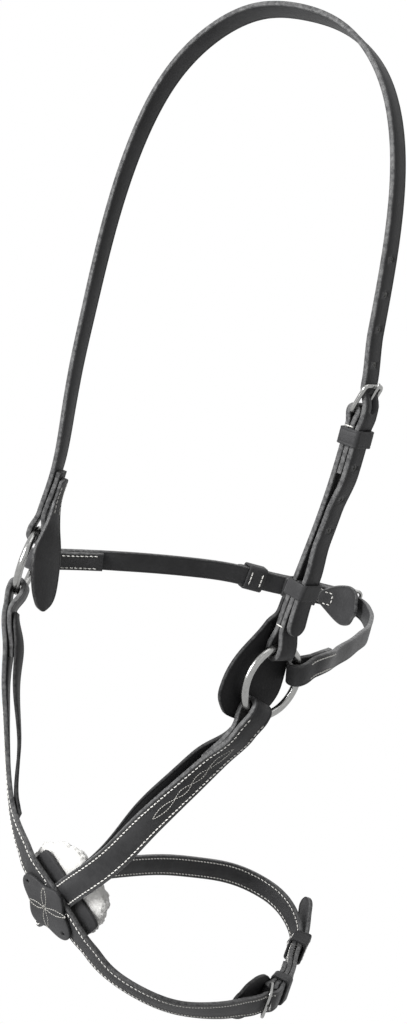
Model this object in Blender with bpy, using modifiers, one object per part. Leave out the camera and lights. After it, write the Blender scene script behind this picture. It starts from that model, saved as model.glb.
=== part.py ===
"""Crossed (figure-eight) noseband for a horse's bridle, modelled as its separate leather and
metal pieces. Metres, +Z up, +X to the horse's near (left) side, -Y to the front. The origin is
in the middle of the headpiece strap at the poll, where the head carries the noseband."""

import math

import bmesh
import bpy
import numpy as np
from mathutils import Matrix, Vector

MM = 0.001

# Leather straps: width and thickness of each
HEAD_WIDTH = 14 * MM
HEAD_THICK = 3.3 * MM
JAW_WIDTH = 14 * MM
JAW_THICK = 3.2 * MM
NOSE_WIDTH = 18 * MM
NOSE_THICK = 3.2 * MM
LINING_WIDTH = 18 * MM
LINING_THICK = 2.4 * MM
CHIN_WIDTH = 16 * MM
GUARD_THICK = 2.6 * MM
KEEPER_THICK = 1.6 * MM
KEEPER_LENGTH = 10 * MM
KEEPER_CORNER = 2.0 * MM

# Rings and buckles
RING_RADIUS = 22 * MM
RING_WIRE = 2.5 * MM
RING_SEGMENTS = 48
BUCKLE_WIRE = 1.3 * MM
BUCKLE_LENGTH = 16 * MM
BUCKLE_CORNER = 2.0 * MM
TONGUE_WIRE = 0.9 * MM
HOLE_RADIUS = 1.7 * MM
HOLE_PITCH = 20 * MM
WORKING_HOLE = (2.0 * MM, 12.5 * MM)

# Clearances between pieces that touch on the real noseband
GAP = 0.3 * MM
RING_GAP = 0.6 * MM
SIDE_GAP = 0.6 * MM
KEEPER_GAP = 0.4 * MM

# Overall layout: the rings hang this far below the poll, this far out to each side
RING_DROP = 382 * MM
RING_SIDE = 105 * MM
NEAR_RING_TURN = 8.0
OFF_RING_TURN = 29.0
OFF_RING_LEAN = 3.0
NEAR_NOSE_ANGLE = 22.0
OFF_NOSE_ANGLE = 24.0
NEAR_JAW_ANGLE = 16.0
OFF_JAW_ANGLE = -10.0

# How the leather lies where it is folded round a ring or a buckle bar
FOLD_RAMP = 13 * MM
BUCKLE_RAMP = 7.5 * MM
FREE_RUN = 30 * MM
LAP_RUN = 40 * MM
SLOT_REACH = 8 * MM
GUARD_STEP = 8 * MM
LINING_END = 8 * MM
BUCKLE_RUN = 24 * MM
HEAD_LAP_RUN = 60 * MM
FOLD_STEPS = 6
HEAD_ROW = 16 * MM
LOOP_ROW = 7 * MM
FACE_SMOOTHING = 12 * MM

# Nose crossing: its middle below and in front of the ring line, and the two strap directions
CROSS_FORWARD = 17 * MM
CROSS_DROP = 197 * MM
CROSS_LEAN = -0.33
CROSS_ANGLE_OFF = -37.0
CROSS_ANGLE_NEAR = 231.0
CROSS_FLAT = 26.5 * MM
OFF_CROSS_ASIDE = 6 * MM
PATCH_REACH = 25 * MM
PATCH_SHORT_REACH = 19 * MM
PATCH_WAIST = 0.72
PATCH_THICK = 2.6 * MM
BACKING_LENGTH = 60 * MM
BACKING_WIDTH = 25 * MM
BACKING_THICK = 2.6 * MM
BACKING_ASIDE = 10 * MM
BACKING_CORNER = 4 * MM
FLEECE_RADIUS = 31.5 * MM
FLEECE_THICK = 12 * MM
FLEECE_SHIFT = (4 * MM, 8 * MM)

# Routes of the straps in millimetres from the point midway between the rings: place, outward face
HEAD_OFF = [
    ((-98.5, 0, 65), (-0.95, -0.30, 0)),
    ((-103.5, 0, 110), (-1, -0.22, 0)),
    ((-107, 0, 167), (-1, -0.15, 0)),
    ((-107.5, 0, 228), (-1, -0.08, 0.08)),
    ((-101.5, 0, 285), (-0.95, 0, 0.30)),
    ((-86.5, 0, 329), (-0.8, 0.12, 0.60)),
    ((-62.5, 0, 359), (-0.5, 0.22, 0.85)),
    ((-33, 0, 377), (-0.22, 0.33, 0.90)),
    ((0, 0, 382), (0, 0.42, 0.90)),
]
HEAD_NEAR = [
    ((34, 0, 377.5), (0.22, 0.30, 0.90)),
    ((64, 0, 359.5), (0.5, 0.10, 0.85)),
    ((85, 0, 329.5), (0.8, 0.06, 0.60)),
    ((99.5, 0, 284), (0.95, 0.06, 0.30)),
    ((107.5, 0, 228), (1, 0.04, 0.08)),
    ((112.5, 0, 167), (1, 0.02, 0)),
    ((111.5, 0, 110), (1, 0, 0)),
    ((107, 0, 65), (1, -0.04, 0)),
]
JAW_NEAR = [
    ((94, 78, 5), (0.96, 0.28, 0)),
    ((85, 109, 4), (0.95, 0.32, 0)),
    ((73, 140, 3), (0.92, 0.38, 0)),
    ((60, 170, 0), (0.88, 0.47, 0)),
    ((45, 197, -2), (0.80, 0.60, 0)),
    ((28, 221, -3), (0.55, 0.84, 0)),
]
JAW_REAR = ((0, 236, -3), (0, 1, 0))
JAW_OFF = [
    ((-27, 221, -3), (-0.55, 0.84, 0)),
    ((-43, 197, -2), (-0.80, 0.60, 0)),
    ((-57, 170, 1), (-0.88, 0.47, 0)),
    ((-70, 140, 2), (-0.92, 0.38, 0)),
    ((-81, 109, 2), (-0.95, 0.32, 0)),
    ((-91, 78, 1.5), (-0.96, 0.28, 0)),
]
NEAR_NOSE = [
    ((92, -14, -51), (0.93, -0.34, -0.2)),
    ((76, -18, -81), (0.80, -0.55, -0.25)),
    ((57, -21, -115), (0.55, -0.80, -0.28)),
    ((39, -23, -148), (0.25, -0.92, -0.32)),
]
OFF_NOSE = [
    ((-90, -15.5, -50), (-0.90, -0.42, -0.20)),
    ((-83, -17, -76), (-0.80, -0.56, -0.24)),
    ((-72, -19, -105), (-0.70, -0.66, -0.26)),
    ((-61, -20.5, -129), (-0.66, -0.70, -0.27)),
    ((-47.5, -22, -152.5), (-0.60, -0.75, -0.27)),
]
CHIN_NEAR_LEG = [
    ((41, 0, -226.5), (0.22, -0.74, -0.64)),
    ((58.5, 15, -237), (0.38, -0.65, -0.65)),
    ((70, 36, -246), (0.60, -0.44, -0.67)),
    ((75, 62, -254), (0.80, -0.25, -0.55)),
    ((79, 102, -262), (0.96, -0.05, -0.28)),
    ((76.5, 141, -267), (0.99, 0.13, -0.05)),
    ((69.5, 171, -268), (0.94, 0.30, -0.05)),
    ((59, 196, -268), (0.89, 0.45, 0)),
    ((46, 217, -265), (0.85, 0.50, -0.03)),
    ((36, 238, -259), (0.55, 0.83, -0.03)),
]
CHIN_OFF_LEG = [
    ((17, 240, -243), (-0.10, 0.98, 0.05)),
    ((-3, 230, -234), (-0.62, 0.77, 0.05)),
    ((-16, 206, -225.5), (-0.90, 0.42, 0)),
    ((-25, 175, -219.5), (-0.95, 0.28, 0)),
    ((-32, 142, -214.5), (-0.95, 0.25, 0)),
    ((-36, 106, -211), (-0.98, 0.12, 0)),
    ((-37, 72, -208), (-0.98, -0.04, -0.05)),
    ((-35, 40, -208), (-0.95, -0.22, -0.1)),
    ((-28, 12, -213), (-0.75, -0.60, -0.2)),
]
CHIN_TIP = [
    ((27, 248, -247), (0.50, 0.82, -0.15)),
    ((21, 254, -235), (0.50, 0.82, -0.20)),
    ((15, 260, -223), (0.50, 0.82, -0.22)),
]

# Where things sit along the straps
OFF_TURN_BACK = 44 * MM
CHEEK_HEEL_UP = 150 * MM
CHEEK_TURN_BACK = 37 * MM
CHEEK_RING_BACK = 44 * MM
CHEEK_KEEPER = 15 * MM
CHEEK_RUNNER = 111 * MM
CHEEK_HOLES_ABOVE = 4
CHEEK_HOLES_BELOW = 4
BILLET_END = 10 * MM
BILLET_LOW = 2.7 * MM
BILLET_RISE = 1.3 * MM
BILLET_STEP = 24 * MM
JAW_HEEL_PAST_REAR = 5 * MM
JAW_TURN_BACK = 42 * MM
JAW_NEAR_BACK = 46 * MM
JAW_OFF_BACK = 60 * MM
JAW_KEEPER = 20 * MM
JAW_WIDE_KEEPER = 66 * MM
JAW_BILLET = 84 * MM
JAW_HOLES_BELOW = 3
CHIN_HEEL_FROM_CROSS = 230 * MM
CHIN_TURN_BACK = 46 * MM
CHIN_KEEPER = 17.5 * MM
CHIN_WIDE_KEEPER = 83 * MM
CHIN_BILLET = 124 * MM
CHIN_HOLES_BELOW = 3
NOSE_TURN_BACK = 44 * MM
WIDE_KEEPER_LENGTH = 15 * MM
WIDE_KEEPER_SLACK = 0.6 * MM
LINING_BULGE = 8 * MM
LINING_SHIFT = 2.5 * MM
NEAR_LINING_SHORT = 44 * MM
OFF_LINING_SHORT = 61 * MM

# Outlines of the ring guards: distance up from the ring's middle, rear edge, front edge
NEAR_GUARD = [
    (52, -6.5, 6.5), (44, -7, 7), (36, -10, 10), (28, -13, 16), (19, -15.5, 24),
    (8, -17.5, 31), (-4, -18, 34), (-13, -16.5, 33), (-20, -12, 28), (-25, -4, 20), (-27, 3, 13),
]
OFF_GUARD = [
    (60, -5, 5), (48, -5, 5), (36, -6, 7), (27, -7, 10), (16, -10, 14), (5, -13.5, 13),
    (-6, -16, 9.5), (-17, -17.5, 5), (-25, -16.5, 0), (-29, -13.5, -4), (-31, -10.5, -7.5),
]
OFF_GUARD_INSET = 14 * MM
# Outlines of the buckle guards: distance from the heel towards the toe, lower edge, upper edge
JAW_GUARD = [
    (-11, -6, 6), (-5, -9.5, 9.5), (3, -13.5, 12.5), (11, -15.5, 14), (18, -15, 13.5),
    (23, -13, 11.5), (26, -10, 8.5), (28, -5.5, 4),
]
CHIN_GUARD = [
    (-11, -7, 7), (-5, -10.5, 10.5), (3, -14, 14), (12, -16, 16), (22, -16.5, 16.5),
    (31, -15, 15), (37, -11.5, 11.5), (40, -7, 7),
]


def remove_everything():
    for item in list(bpy.data.objects):
        bpy.data.objects.remove(item)


remove_everything()
parts = bpy.data.collections.new("crossed_noseband")
cutters = bpy.data.collections.new("cutters")
for group in (parts, cutters):
    bpy.context.scene.collection.children.link(group)


def material(name, colour, roughness, metallic=0.0):
    made = bpy.data.materials.new(name)
    made.use_nodes = True
    shader = made.node_tree.nodes["Principled BSDF"]
    shader.inputs["Base Color"].default_value = (*colour, 1)
    shader.inputs["Roughness"].default_value = roughness
    shader.inputs["Metallic"].default_value = metallic
    return made


BLACK_LEATHER = material("black_leather", (0.012, 0.012, 0.013), 0.45)
LINING_LEATHER = material("lining_leather", (0.02, 0.02, 0.021), 0.6)
STEEL = material("stainless_steel", (0.62, 0.62, 0.62), 0.22, 1.0)
FLEECE = material("white_fleece", (0.85, 0.84, 0.80), 0.95)


class Route:
    """A smooth line through chosen stops, with the outward face direction beside each stop."""

    def __init__(self, stops, samples=600):
        places = np.array([place for place, face in stops], float)
        faces = np.array([face for place, face in stops], float)
        knots = np.r_[0, np.cumsum(np.linalg.norm(np.diff(places, axis=0), axis=1))]
        fine = np.linspace(0, knots[-1], samples)
        self.place = chord_spline(knots, places, fine)
        steps = np.linalg.norm(np.diff(self.place, axis=0), axis=1)
        self.s = np.r_[0, np.cumsum(steps)]
        self.length = float(self.s[-1])
        self.ahead = np.gradient(self.place, self.s, axis=0)
        self.ahead /= np.linalg.norm(self.ahead, axis=1)[:, None]
        faces = np.array([np.interp(fine, knots, faces[:, axis]) for axis in range(3)]).T
        faces = smoothed(faces, round(FACE_SMOOTHING * samples / self.length))
        faces -= (faces * self.ahead).sum(axis=1)[:, None] * self.ahead
        self.face = faces / np.linalg.norm(faces, axis=1)[:, None]

    def frame(self, s):
        """Place, direction ahead and outward face at a distance along the line."""
        s = float(s)
        held = min(max(s, 0.0), self.length)
        place, ahead, face = (
            Vector([np.interp(held, self.s, values[:, axis]) for axis in range(3)])
            for values in (self.place, self.ahead, self.face)
        )
        ahead.normalize()
        face = (face - face.dot(ahead) * ahead).normalized()
        return place + (s - held) * ahead, ahead, face

    def point(self, s, out=0.0, across=0.0):
        place, ahead, face = self.frame(s)
        return place + out * face + across * ahead.cross(face)

    def nearest(self, target):
        gaps = np.linalg.norm(self.place - np.array(target), axis=1)
        row = int(np.argmin(gaps))
        return float(self.s[row] + (np.array(target) - self.place[row]) @ self.ahead[row])


def chord_spline(knots, values, wanted):
    """A cubic spline through the values that starts and ends along its first and last chords."""
    count = len(knots)
    span = np.diff(knots)
    system = np.zeros((count, count))
    system[0, :2] = 2, 1
    system[-1, -2:] = 1, 2
    right = np.zeros_like(values)
    slopes = np.diff(values, axis=0) / span[:, None]
    for i in range(1, count - 1):
        system[i, i - 1:i + 2] = span[i - 1], 2 * (span[i - 1] + span[i]), span[i]
        right[i] = 6 * (slopes[i] - slopes[i - 1])
    bend = np.linalg.solve(system, right)
    cell = np.clip(np.searchsorted(knots, wanted, side="right") - 1, 0, count - 2)
    width = span[cell][:, None]
    after = (wanted - knots[cell])[:, None]
    before = width - after
    return (
        (bend[cell] * before**3 + bend[cell + 1] * after**3) / (6 * width)
        + (values[cell] / width - bend[cell] * width / 6) * before
        + (values[cell + 1] / width - bend[cell + 1] * width / 6) * after
    )


def smoothed(rows, reach):
    """Each row averaged with its neighbours, the ends held."""
    padded = np.concatenate([rows[:1].repeat(reach, 0), rows, rows[-1:].repeat(reach, 0)])
    kernel = np.ones(2 * reach + 1) / (2 * reach + 1)
    return np.array([np.convolve(padded[:, axis], kernel, "valid") for axis in range(3)]).T


RING_LINE = Vector((0, 0, -RING_DROP))
NEAR_RING = RING_LINE + Vector((RING_SIDE, 0, 0))
OFF_RING = RING_LINE - Vector((RING_SIDE, 0, 0))


def ring_face(side):
    """The outward normal of a ring: side is 1 for the near ring, -1 for the off one."""
    turn = math.radians(NEAR_RING_TURN if side > 0 else OFF_RING_TURN)
    lean = math.radians(0 if side > 0 else OFF_RING_LEAN)
    level = math.cos(lean)
    return Vector((side * math.cos(turn) * level, -math.sin(turn) * level, math.sin(lean)))


def ring_stop(side, angle, reach):
    """A stop on the line out of a ring: angle from straight down, positive to the front."""
    face = ring_face(side)
    front = Vector((0, 0, 1)).cross(face).normalized() * -side
    down = face.cross(front) * side
    turn = math.radians(angle)
    spoke = math.cos(turn) * down + math.sin(turn) * front
    centre = NEAR_RING if side > 0 else OFF_RING
    return tuple(centre + reach * spoke), tuple(face)


def from_ring_line(stops):
    """Stops given in millimetres from the ring line, in metres from the poll."""
    return [((x * MM, y * MM, z * MM - RING_DROP), face) for (x, y, z), face in stops]


def ring_lead(side, angle):
    """The first two stops of a strap that leaves a ring."""
    reaches = (RING_RADIUS, RING_RADIUS + FOLD_RAMP)
    return [ring_stop(side, angle, reach) for reach in reaches]


CROSS = Vector((0, -CROSS_FORWARD, -CROSS_DROP - RING_DROP))
CROSS_UP = Vector((0, CROSS_LEAN, math.sqrt(1 - CROSS_LEAN**2)))
CROSS_RIGHT = Vector((1, 0, 0))
CROSS_FACE = CROSS_RIGHT.cross(CROSS_UP)


def cross_direction(angle):
    turn = math.radians(angle)
    return math.cos(turn) * CROSS_RIGHT + math.sin(turn) * CROSS_UP


def cross_stops(angle, reaches, aside=0.0):
    """Stops on the straight stretch where a nose strap lies flat under the patch."""
    ahead = cross_direction(angle)
    middle = CROSS + aside * cross_direction(angle + 90)
    return [(tuple(middle + reach * ahead), tuple(CROSS_FACE)) for reach in reaches]


FLAT = [share * CROSS_FLAT for share in (-1, -0.5, 0, 0.5, 1)]
head_route = Route(
    ring_lead(-1, 180)
    + from_ring_line(HEAD_OFF + HEAD_NEAR)
    + ring_lead(1, 180)[::-1]
)
jaw_route = Route(
    ring_lead(1, -90 - NEAR_JAW_ANGLE)
    + from_ring_line(JAW_NEAR + [JAW_REAR] + JAW_OFF)
    + ring_lead(-1, -90 - OFF_JAW_ANGLE)[::-1]
)
off_route = Route(
    ring_lead(-1, OFF_NOSE_ANGLE)
    + from_ring_line(OFF_NOSE)
    + cross_stops(CROSS_ANGLE_OFF, FLAT, OFF_CROSS_ASIDE)
    + from_ring_line(CHIN_NEAR_LEG + CHIN_TIP)
)
near_route = Route(
    ring_lead(1, NEAR_NOSE_ANGLE)
    + from_ring_line(NEAR_NOSE)
    + cross_stops(CROSS_ANGLE_NEAR, FLAT)
    + from_ring_line((CHIN_NEAR_LEG + CHIN_OFF_LEG)[:2:-1])
)


def add_object(name, mesh, collection, finish=None):
    made = bpy.data.objects.new(name, mesh)
    collection.objects.link(made)
    if finish is not None:
        made.data.materials.append(finish)
    return made


def finished_mesh(name, bm):
    bmesh.ops.recalc_face_normals(bm, faces=bm.faces)
    mesh = bpy.data.meshes.new(name)
    bm.to_mesh(mesh)
    bm.free()
    mesh.shade_smooth()
    mesh.set_sharp_from_angle(angle=math.radians(40))
    return mesh


def thicken(made, thickness, edge=0.5 * MM):
    """Gives an open leather sheet its thickness about the middle, with its edges eased."""
    solid = made.modifiers.new("thickness", "SOLIDIFY")
    solid.thickness = thickness
    solid.offset = 0
    solid.use_even_offset = True
    solid.use_quality_normals = True
    if edge:
        eased = made.modifiers.new("eased_edges", "BEVEL")
        eased.width = edge
        eased.segments = 1
        eased.limit_method = "ANGLE"
        eased.angle_limit = math.radians(60)


def leather(name, route, stations, thickness, finish=BLACK_LEATHER, edge=0.5 * MM):
    """A strip of leather: each station is distance along, out, half width, shift across."""
    bm = bmesh.new()
    rows = len(stations) - 1
    bmesh.ops.create_grid(bm, x_segments=rows, y_segments=1, size=1)
    for vert in bm.verts:
        s, out, half, shift = stations[round((vert.co.x + 1) / 2 * rows)]
        vert.co = route.point(s, out, shift + half * (1 if vert.co.y > 0 else -1))
    made = add_object(name, finished_mesh(name, bm), parts, finish)
    thicken(made, thickness, edge)
    return made


def ease(t):
    t = min(max(t, 0.0), 1.0)
    return t * t * (3 - 2 * t)


def height_along(marks):
    """A smooth height against distance, through (distance, height) marks."""
    def height(s):
        for (s0, h0), (s1, h1) in zip(marks, marks[1:]):
            if s <= s1:
                return h0 + (h1 - h0) * ease((s - s0) / (s1 - s0))
        return marks[-1][1]
    return height


def run(start, end, height, half, row, shift=0.0):
    """Stations of a plain stretch: both ends, and rows shared by all straps on the route."""
    low, high = sorted((start, end))
    first = math.ceil((low + 0.3 * row) / row)
    last = math.floor((high - 0.3 * row) / row)
    rows = [low] + [i * row for i in range(first, last + 1)] + [high]
    if start > end:
        rows.reverse()
    return [(s, height(s), half, shift) for s in rows]


def fold(bar, body, top, radius, far, stretch, ramp, back, half, row):
    """Stations of the leather round a bar, from the main run, beside the turned-back end, to
    that end. body: the side of the bar that the strap lies on along the route. top: 1 where
    the main run is the outer one, -1 where it is the inner one."""
    spare = max(1, round((back - ramp) / row))
    rows = [ramp * i / 3 for i in range(4)]
    rows += [ramp + (back - ramp) * (i + 1) / spare for i in range(spare)]

    def out(d):
        return far + (radius - far) * ease(1 - d / ramp)

    stations = [(bar + body * d, top * out(d), half, 0.0) for d in reversed(rows)]
    for i in range(FOLD_STEPS + 1):
        turn = math.pi * i / FOLD_STEPS
        if stretch == 0 and i in (0, FOLD_STEPS):
            continue
        beyond = stretch + radius * math.sin(turn)
        stations.append((bar - body * beyond, top * radius * math.cos(turn), half, 0.0))
    stations += [(bar + body * d, -top * out(d), half, 0.0) for d in rows]
    return stations


def round_tip(end, ahead, height, half, point=0.15):
    """Stations that round off a strap's end; ahead is the sign of the way it points."""
    made = []
    for i in range(1, 5):
        turn = math.pi / 2 * i / 4
        s = end - ahead * half * (1 - math.sin(turn))
        made.append((s, height(s), max(half * math.cos(turn), point * half), 0.0))
    return made


def bow(half):
    """How far a ring's wire falls back at the edge of a strap folded round it."""
    return RING_RADIUS - math.sqrt(RING_RADIUS**2 - half**2)


def cut(made, name, places):
    """Cuts box-shaped openings through a piece: each is a centre, three axes and three sizes."""
    bm = bmesh.new()
    for centre, axes, sizes in places:
        turn = Matrix(axes).transposed().to_4x4()
        scale = Matrix.Diagonal((*sizes, 1))
        bmesh.ops.create_cube(bm, size=1, matrix=Matrix.Translation(centre) @ turn @ scale)
    add_cutter(made, name, bm)


def cut_holes(made, name, route, distances, height, radius=HOLE_RADIUS, depth=10 * MM):
    """Cuts round holes square through a strap at distances along it."""
    bm = bmesh.new()
    for s in distances:
        place, ahead, face = route.frame(s)
        turn = Matrix((ahead, face.cross(ahead), face)).transposed().to_4x4()
        bmesh.ops.create_cone(
            bm, cap_ends=True, segments=10, radius1=radius, radius2=radius, depth=depth,
            matrix=Matrix.Translation(place + height(s) * face) @ turn,
        )
    add_cutter(made, name, bm)


def add_cutter(made, name, bm):
    cutter = add_object(name, finished_mesh(name, bm), cutters)
    cutter.hide_render = True
    cutter.display_type = "WIRE"
    opening = made.modifiers.new(name, "BOOLEAN")
    opening.operation = "DIFFERENCE"
    opening.solver = "EXACT"
    opening.object = cutter


def rod(name, points, radius, finish, origin, closed=False):
    """A round wire through points given in world space, with its own origin."""
    curve = bpy.data.curves.new(name, "CURVE")
    curve.dimensions = "3D"
    curve.bevel_depth = radius
    curve.bevel_resolution = 1
    curve.use_fill_caps = not closed
    line = curve.splines.new("POLY")
    line.points.add(len(points) - 1)
    for spot, point in zip(line.points, points):
        spot.co = (*(point - origin), 1)
    line.use_cyclic_u = closed
    curve.materials.append(finish)
    made = bpy.data.objects.new(name, curve)
    made.location = origin
    parts.objects.link(made)


def keeper(name, route, middle, length, low, high, half, rows=0):
    """A leather loop round a stack of straps, from its low face to its high face."""
    bm = bmesh.new()
    bmesh.ops.create_cone(bm, cap_ends=False, segments=16, radius1=1, radius2=1, depth=1)
    if rows:
        lengthwise = [e for e in bm.edges if abs(e.verts[0].co.z - e.verts[1].co.z) > 0.5]
        bmesh.ops.subdivide_edges(bm, edges=lengthwise, cuts=rows, use_grid_fill=True)
    wall = KEEPER_GAP + KEEPER_THICK / 2
    low -= wall
    high += wall
    half += wall
    reach = (high - low) / 2
    for vert in bm.verts:
        step = round(math.atan2(vert.co.y, vert.co.x) / (math.pi / 8)) % 16
        quarter, within = divmod(step, 4)
        side = 1 if quarter in (0, 3) else -1
        lift = 1 if quarter in (0, 1) else -1
        turn = math.radians(90 * quarter + 30 * within)
        across = side * (half - KEEPER_CORNER) + KEEPER_CORNER * math.cos(turn)
        out = (low + high) / 2 + lift * (reach - KEEPER_CORNER) + KEEPER_CORNER * math.sin(turn)
        vert.co = route.point(middle + vert.co.z * length, out, across) - route.point(middle)
    made = add_object(name, finished_mesh(name, bm), parts, BLACK_LEATHER)
    solid = made.modifiers.new("thickness", "SOLIDIFY")
    solid.thickness = KEEPER_THICK
    solid.offset = 0
    solid.use_even_offset = True
    made.location = route.point(middle)


class Buckle:
    """A wire buckle at the end of a folded strap. toe is the sign of the way its far bar lies
    along the route; the other strap, the billet, passes under that bar and over the heel."""

    def __init__(self, label, route, heel, toe, width, chape, billet):
        self.label = label
        self.route = route
        self.heel = heel
        self.toe = toe
        self.half = width / 2
        self.fold_radius = BUCKLE_WIRE + GAP + chape / 2
        self.far = (chape + GAP) / 2
        self.lift = 2.5 * MM
        self.over_heel = self.fold_radius + chape / 2 + GAP + billet / 2
        self.over_chape = self.far + chape / 2 + GAP + billet / 2
        self.toe_height = self.lift + billet / 2 + GAP + BUCKLE_WIRE

    def point(self, d, out, across=0.0):
        """A place by its distance from the heel bar towards the toe."""
        place, ahead, face = self.route.frame(self.heel)
        side = ahead.cross(face)
        return place + self.toe * d * ahead + out * face + across * side

    def billet_marks(self, free):
        """Heights of the billet against distance from the heel towards the toe."""
        return [
            (-BUCKLE_RAMP - 4 * MM, self.over_chape), (-2 * MM, self.over_heel),
            (3 * MM, self.over_heel), (BUCKLE_LENGTH, self.lift),
            (BUCKLE_LENGTH + FREE_RUN, free),
        ]

    def make_frame(self):
        """The frame: a wire rectangle hinged at its heel bar and resting on the billet."""
        half = self.half + SIDE_GAP + BUCKLE_WIRE
        length = math.hypot(BUCKLE_LENGTH, self.toe_height)
        points = []
        for quarter in range(4):
            along = 1 if quarter in (0, 1) else 0
            side = 1 if quarter in (0, 3) else -1
            for step in range(4):
                turn = math.radians(90 * quarter + 30 * step)
                a = (length if along else 0) + (-1 if along else 1) * BUCKLE_CORNER
                a += BUCKLE_CORNER * math.sin(turn)
                across = side * (half - BUCKLE_CORNER) + BUCKLE_CORNER * math.cos(turn)
                share = a / length
                points.append(
                    self.point(share * BUCKLE_LENGTH, share * self.toe_height, across)
                )
        rod(
            self.label + "_buckle_frame", points, BUCKLE_WIRE, STEEL, closed=True,
            origin=self.point(0, 0),
        )

    def make_tongue(self):
        """The tongue: an eye round the heel bar and a shank that lies on the toe bar."""
        eye = BUCKLE_WIRE + GAP + TONGUE_WIRE
        tip_d = BUCKLE_LENGTH + 2.5 * MM
        rest = self.toe_height + BUCKLE_WIRE + GAP + TONGUE_WIRE
        lean = math.atan2(rest, BUCKLE_LENGTH) - math.asin(
            eye / math.hypot(rest, BUCKLE_LENGTH)
        )
        start = math.pi / 2 + lean
        points = []
        for i in range(9):
            turn = start + math.radians(290) * (8 - i) / 8
            points.append(self.point(eye * math.cos(turn), eye * math.sin(turn)))
        foot_d = eye * math.cos(start)
        foot_out = eye * math.sin(start)
        for share in (0.5, 1.0):
            d = foot_d + share * (tip_d - foot_d)
            points.append(self.point(d, foot_out + (d - foot_d) * math.tan(lean)))
        self.shank = (foot_d, foot_out, lean)
        rod(self.label + "_buckle_tongue", points, TONGUE_WIRE, STEEL, origin=self.point(0, 0))

    def slot_in_chape(self, made):
        """Opens the folded end for the tongue's eye."""
        place, ahead, face = self.route.frame(self.heel)
        side = ahead.cross(face)
        eye = BUCKLE_WIRE + GAP + 2 * TONGUE_WIRE
        low, high = -eye - 2 * GAP, eye + SLOT_REACH
        middle = place + self.toe * (low + high) / 2 * ahead
        width = 2 * (TONGUE_WIRE + GAP)
        cut(made, self.label + "_tongue_slot", [
            (middle, (ahead, side, face), (high - low, width, 4 * eye + SLOT_REACH)),
        ])

    def slot_in_billet(self, made):
        """Opens the billet's working hole along the tongue, up through the leather."""
        ahead, face = self.route.frame(self.heel)[1:]
        side = ahead.cross(face)
        foot_d, foot_out, lean = self.shank
        along = (math.cos(lean) * self.toe * ahead + math.sin(lean) * face).normalized()
        up = side.cross(along) * self.toe
        start, end = WORKING_HOLE
        middle = self.point((start + end) / 2, foot_out + (start + end) / 2 * math.tan(lean))
        below = TONGUE_WIRE + GAP
        above = SLOT_REACH
        cut(made, self.label + "_working_hole", [(
            middle + up * (above - below) / 2, (along, side, up),
            (end - start, 2 * HOLE_RADIUS, above + below),
        )])


def on_billet(buckle, free):
    """The billet's height along a route that shares the buckle's own distances."""
    marks = [
        (buckle.heel + buckle.toe * d, h) for d, h in buckle.billet_marks(free)
    ]
    return height_along(sorted(marks))


# Rings
def make_ring(name, side):
    centre = NEAR_RING if side > 0 else OFF_RING
    bpy.ops.mesh.primitive_torus_add(
        major_segments=RING_SEGMENTS, minor_segments=10,
        major_radius=RING_RADIUS, minor_radius=RING_WIRE, location=centre,
    )
    made = bpy.context.object
    made.name = name
    made.rotation_euler = ring_face(side).to_track_quat("Z", "X").to_euler()
    for group in list(made.users_collection):
        group.objects.unlink(made)
    parts.objects.link(made)
    made.data.materials.append(STEEL)
    made.data.shade_smooth()


make_ring("near_ring", 1)
make_ring("off_ring", -1)

HEAD_HALF_WIDTH = HEAD_WIDTH / 2
JAW_HALF_WIDTH = JAW_WIDTH / 2
NOSE_HALF_WIDTH = NOSE_WIDTH / 2
CHIN_HALF_WIDTH = CHIN_WIDTH / 2


def ring_fold(bar, body, top, half, thickness, back, row):
    """A fold round a ring, with room for the ring's bow."""
    return fold(
        bar, body, top, RING_WIRE + RING_GAP + thickness / 2, (thickness + GAP) / 2,
        bow(half) + 2 * GAP, FOLD_RAMP, back, half, row,
    )


def heel_fold(buckle, top, thickness, back, row):
    """A fold round a buckle's heel bar."""
    return fold(
        buckle.heel, -buckle.toe, top, buckle.fold_radius, buckle.far, 0, BUCKLE_RAMP, back,
        buckle.half, row,
    )


def hole_row(buckle, above, below):
    """Distances of the punched holes other than the one that the tongue is in."""
    used = buckle.heel + buckle.toe * BUCKLE_LENGTH / 2
    steps = [i for i in range(-below, above + 1) if i]
    return [used + buckle.toe * i * HOLE_PITCH for i in steps]


# Head: the headpiece runs from the off ring over the poll and down the near side as a billet
near_end = head_route.length
cheek = Buckle(
    "cheek", head_route, near_end - CHEEK_HEEL_UP, -1, HEAD_WIDTH, HEAD_THICK, HEAD_THICK
)
cheek.make_frame()
cheek.make_tongue()
head_far = (HEAD_THICK + GAP) / 2
lap_top = near_end - CHEEK_RING_BACK
billet_height = height_along([
    (cheek.heel - BUCKLE_LENGTH - FREE_RUN, 0), (cheek.heel - BUCKLE_LENGTH, cheek.lift),
    (cheek.heel - 3 * MM, cheek.over_heel), (cheek.heel + 2 * MM, cheek.over_heel),
    (cheek.heel + BUCKLE_RAMP + 4 * MM, cheek.over_chape),
    (cheek.heel + CHEEK_TURN_BACK, cheek.over_chape),
    (cheek.heel + CHEEK_TURN_BACK + BILLET_STEP, BILLET_LOW),
    (lap_top - 2 * MM - BILLET_STEP, BILLET_LOW), (lap_top - 2 * MM, cheek.over_chape),
    (near_end - BILLET_END - BILLET_STEP, cheek.over_chape),
    (near_end - BILLET_END, cheek.over_chape + BILLET_RISE),
])


def headpiece_height(s):
    if s < near_end / 2:
        return head_far * ease(1 - (s - OFF_TURN_BACK) / HEAD_LAP_RUN)
    return billet_height(s)


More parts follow.
